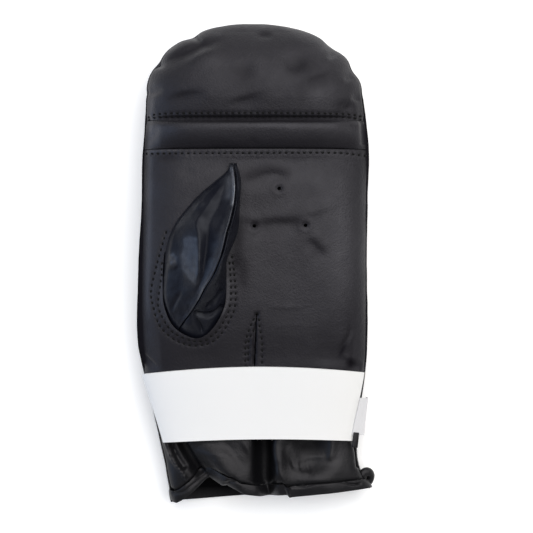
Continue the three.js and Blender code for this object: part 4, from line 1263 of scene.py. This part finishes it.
def placesAlong(path, pitch):  # the spots of the stitches, with the way that the path runs at each
    walked = np.r_[0, np.cumsum(np.linalg.norm(np.diff(path, axis=0), axis=1))]
    stops = np.arange(pitch / 2, walked[-1], pitch)
    spots, ahead, behind = (np.stack([np.interp(stops + step, walked, path[:, i]) for i in (0, 1)], axis=1)
                            for step in (0, 0.6, -0.6))
    return spots, ahead - behind


def sewRows(name, rows, target, shape):
    tree = BVHTree.FromObject(target, bpy.context.evaluated_depsgraph_get())
    made = []
    for path in rows:
        spots, runs = placesAlong(smoothPath(path), stitchLook["pitch"])
        for spot, run in zip(spots, runs):
            above = Vector(metres(*spot, castFrom))
            hit, normal, face, away = tree.ray_cast(above, Vector((0, 0, -1)))
            if hit is None or normal.z < stitchLook["steepest"]:
                continue
            direction = Vector((run[0], run[1], 0))
            direction = (direction - normal * direction.dot(normal)).normalized()
            stitch = shape.copy()
            stitch.data = shape.data.copy()
            bpy.context.collection.objects.link(stitch)
            place = np.eye(4)
            for i, axis in enumerate((direction, normal.cross(direction), normal)):
                place[:3, i] = axis
            place[:3, 3] = hit - normal * stitchLook["sink"] * mm
            stitch.data.transform(Matrix(place.tolist()))
            made.append(stitch)
    finished(joinAll(made, name), "black_thread", [], thread)


stitch = stitchShape()
sewRows("fingerStitches", stitchRows["fingers"], fingerPanel, stitch)
sewRows("barStitches", stitchRows["bar"], palmPanel, stitch)
sewRows("thumbStitches", stitchRows["thumbInner"] + stitchRows["thumbOuter"], palmPanel, stitch)
sewRows("dartStitches", stitchRows["dart"], palmPanel, stitch)
bpy.data.objects.remove(stitch)
print("stitches made")


# Floor, light and camera

deselectAll()
bpy.ops.mesh.primitive_plane_add(size=6, location=(0, 0, -0.0002))
floor = bpy.context.object
floor.name = "floor"
floor.data.materials.append(newMaterial("floor paint", **{
    "Base Color": (0.95, 0.95, 0.95, 1), "Roughness": 0.9, "Specular IOR Level": 0.1,
    "Emission Color": (1, 1, 1, 1), "Emission Strength": 0.2})[0])

lampRows = [
    {"name": "main", "place": (0.45, 0.75, 1.8), "size": 3.0, "watts": 74, "colour": (1, 0.985, 0.97)},
    {"name": "left fill", "place": (-1.3, -0.1, 0.55), "size": 0.9, "watts": 5.5, "colour": (0.5, 0.68, 1)},
    {"name": "low fill", "place": (0.5, -1.2, 0.9), "size": 1.0, "watts": 1.5, "colour": (1, 1, 1)},
]
for row in lampRows:
    place = Vector(row["place"])
    bpy.ops.object.light_add(type="AREA", location=place,
                             rotation=(-place).to_track_quat("-Z", "Y").to_euler())
    lamp = bpy.context.object
    lamp.name = row["name"]
    lamp.data.size = row["size"]
    lamp.data.energy = row["watts"]
    lamp.data.color = row["colour"]

scene = bpy.context.scene
world = bpy.data.worlds.new("studio")
scene.world = world
world.use_nodes = True
background = world.node_tree.nodes["Background"]
background.inputs["Color"].default_value = (1, 1, 1, 1)
background.inputs["Strength"].default_value = 0.25
scene.view_settings.view_transform = "Standard"

pixel = view["mmPerPixel"] * mm
midX = (view["photoSide"] / 2 - view["centreX"]) * pixel
midY = (view["centreY"] - view["photoSide"] / 2) * pixel
bpy.ops.object.camera_add(location=(midX, midY, view["level"] + view["away"]), rotation=(0, 0, 0))
camera = bpy.context.object
camera.name = "camera"
camera.data.sensor_width = 36
camera.data.lens = 36 * view["away"] / (view["photoSide"] * pixel)
scene.camera = camera
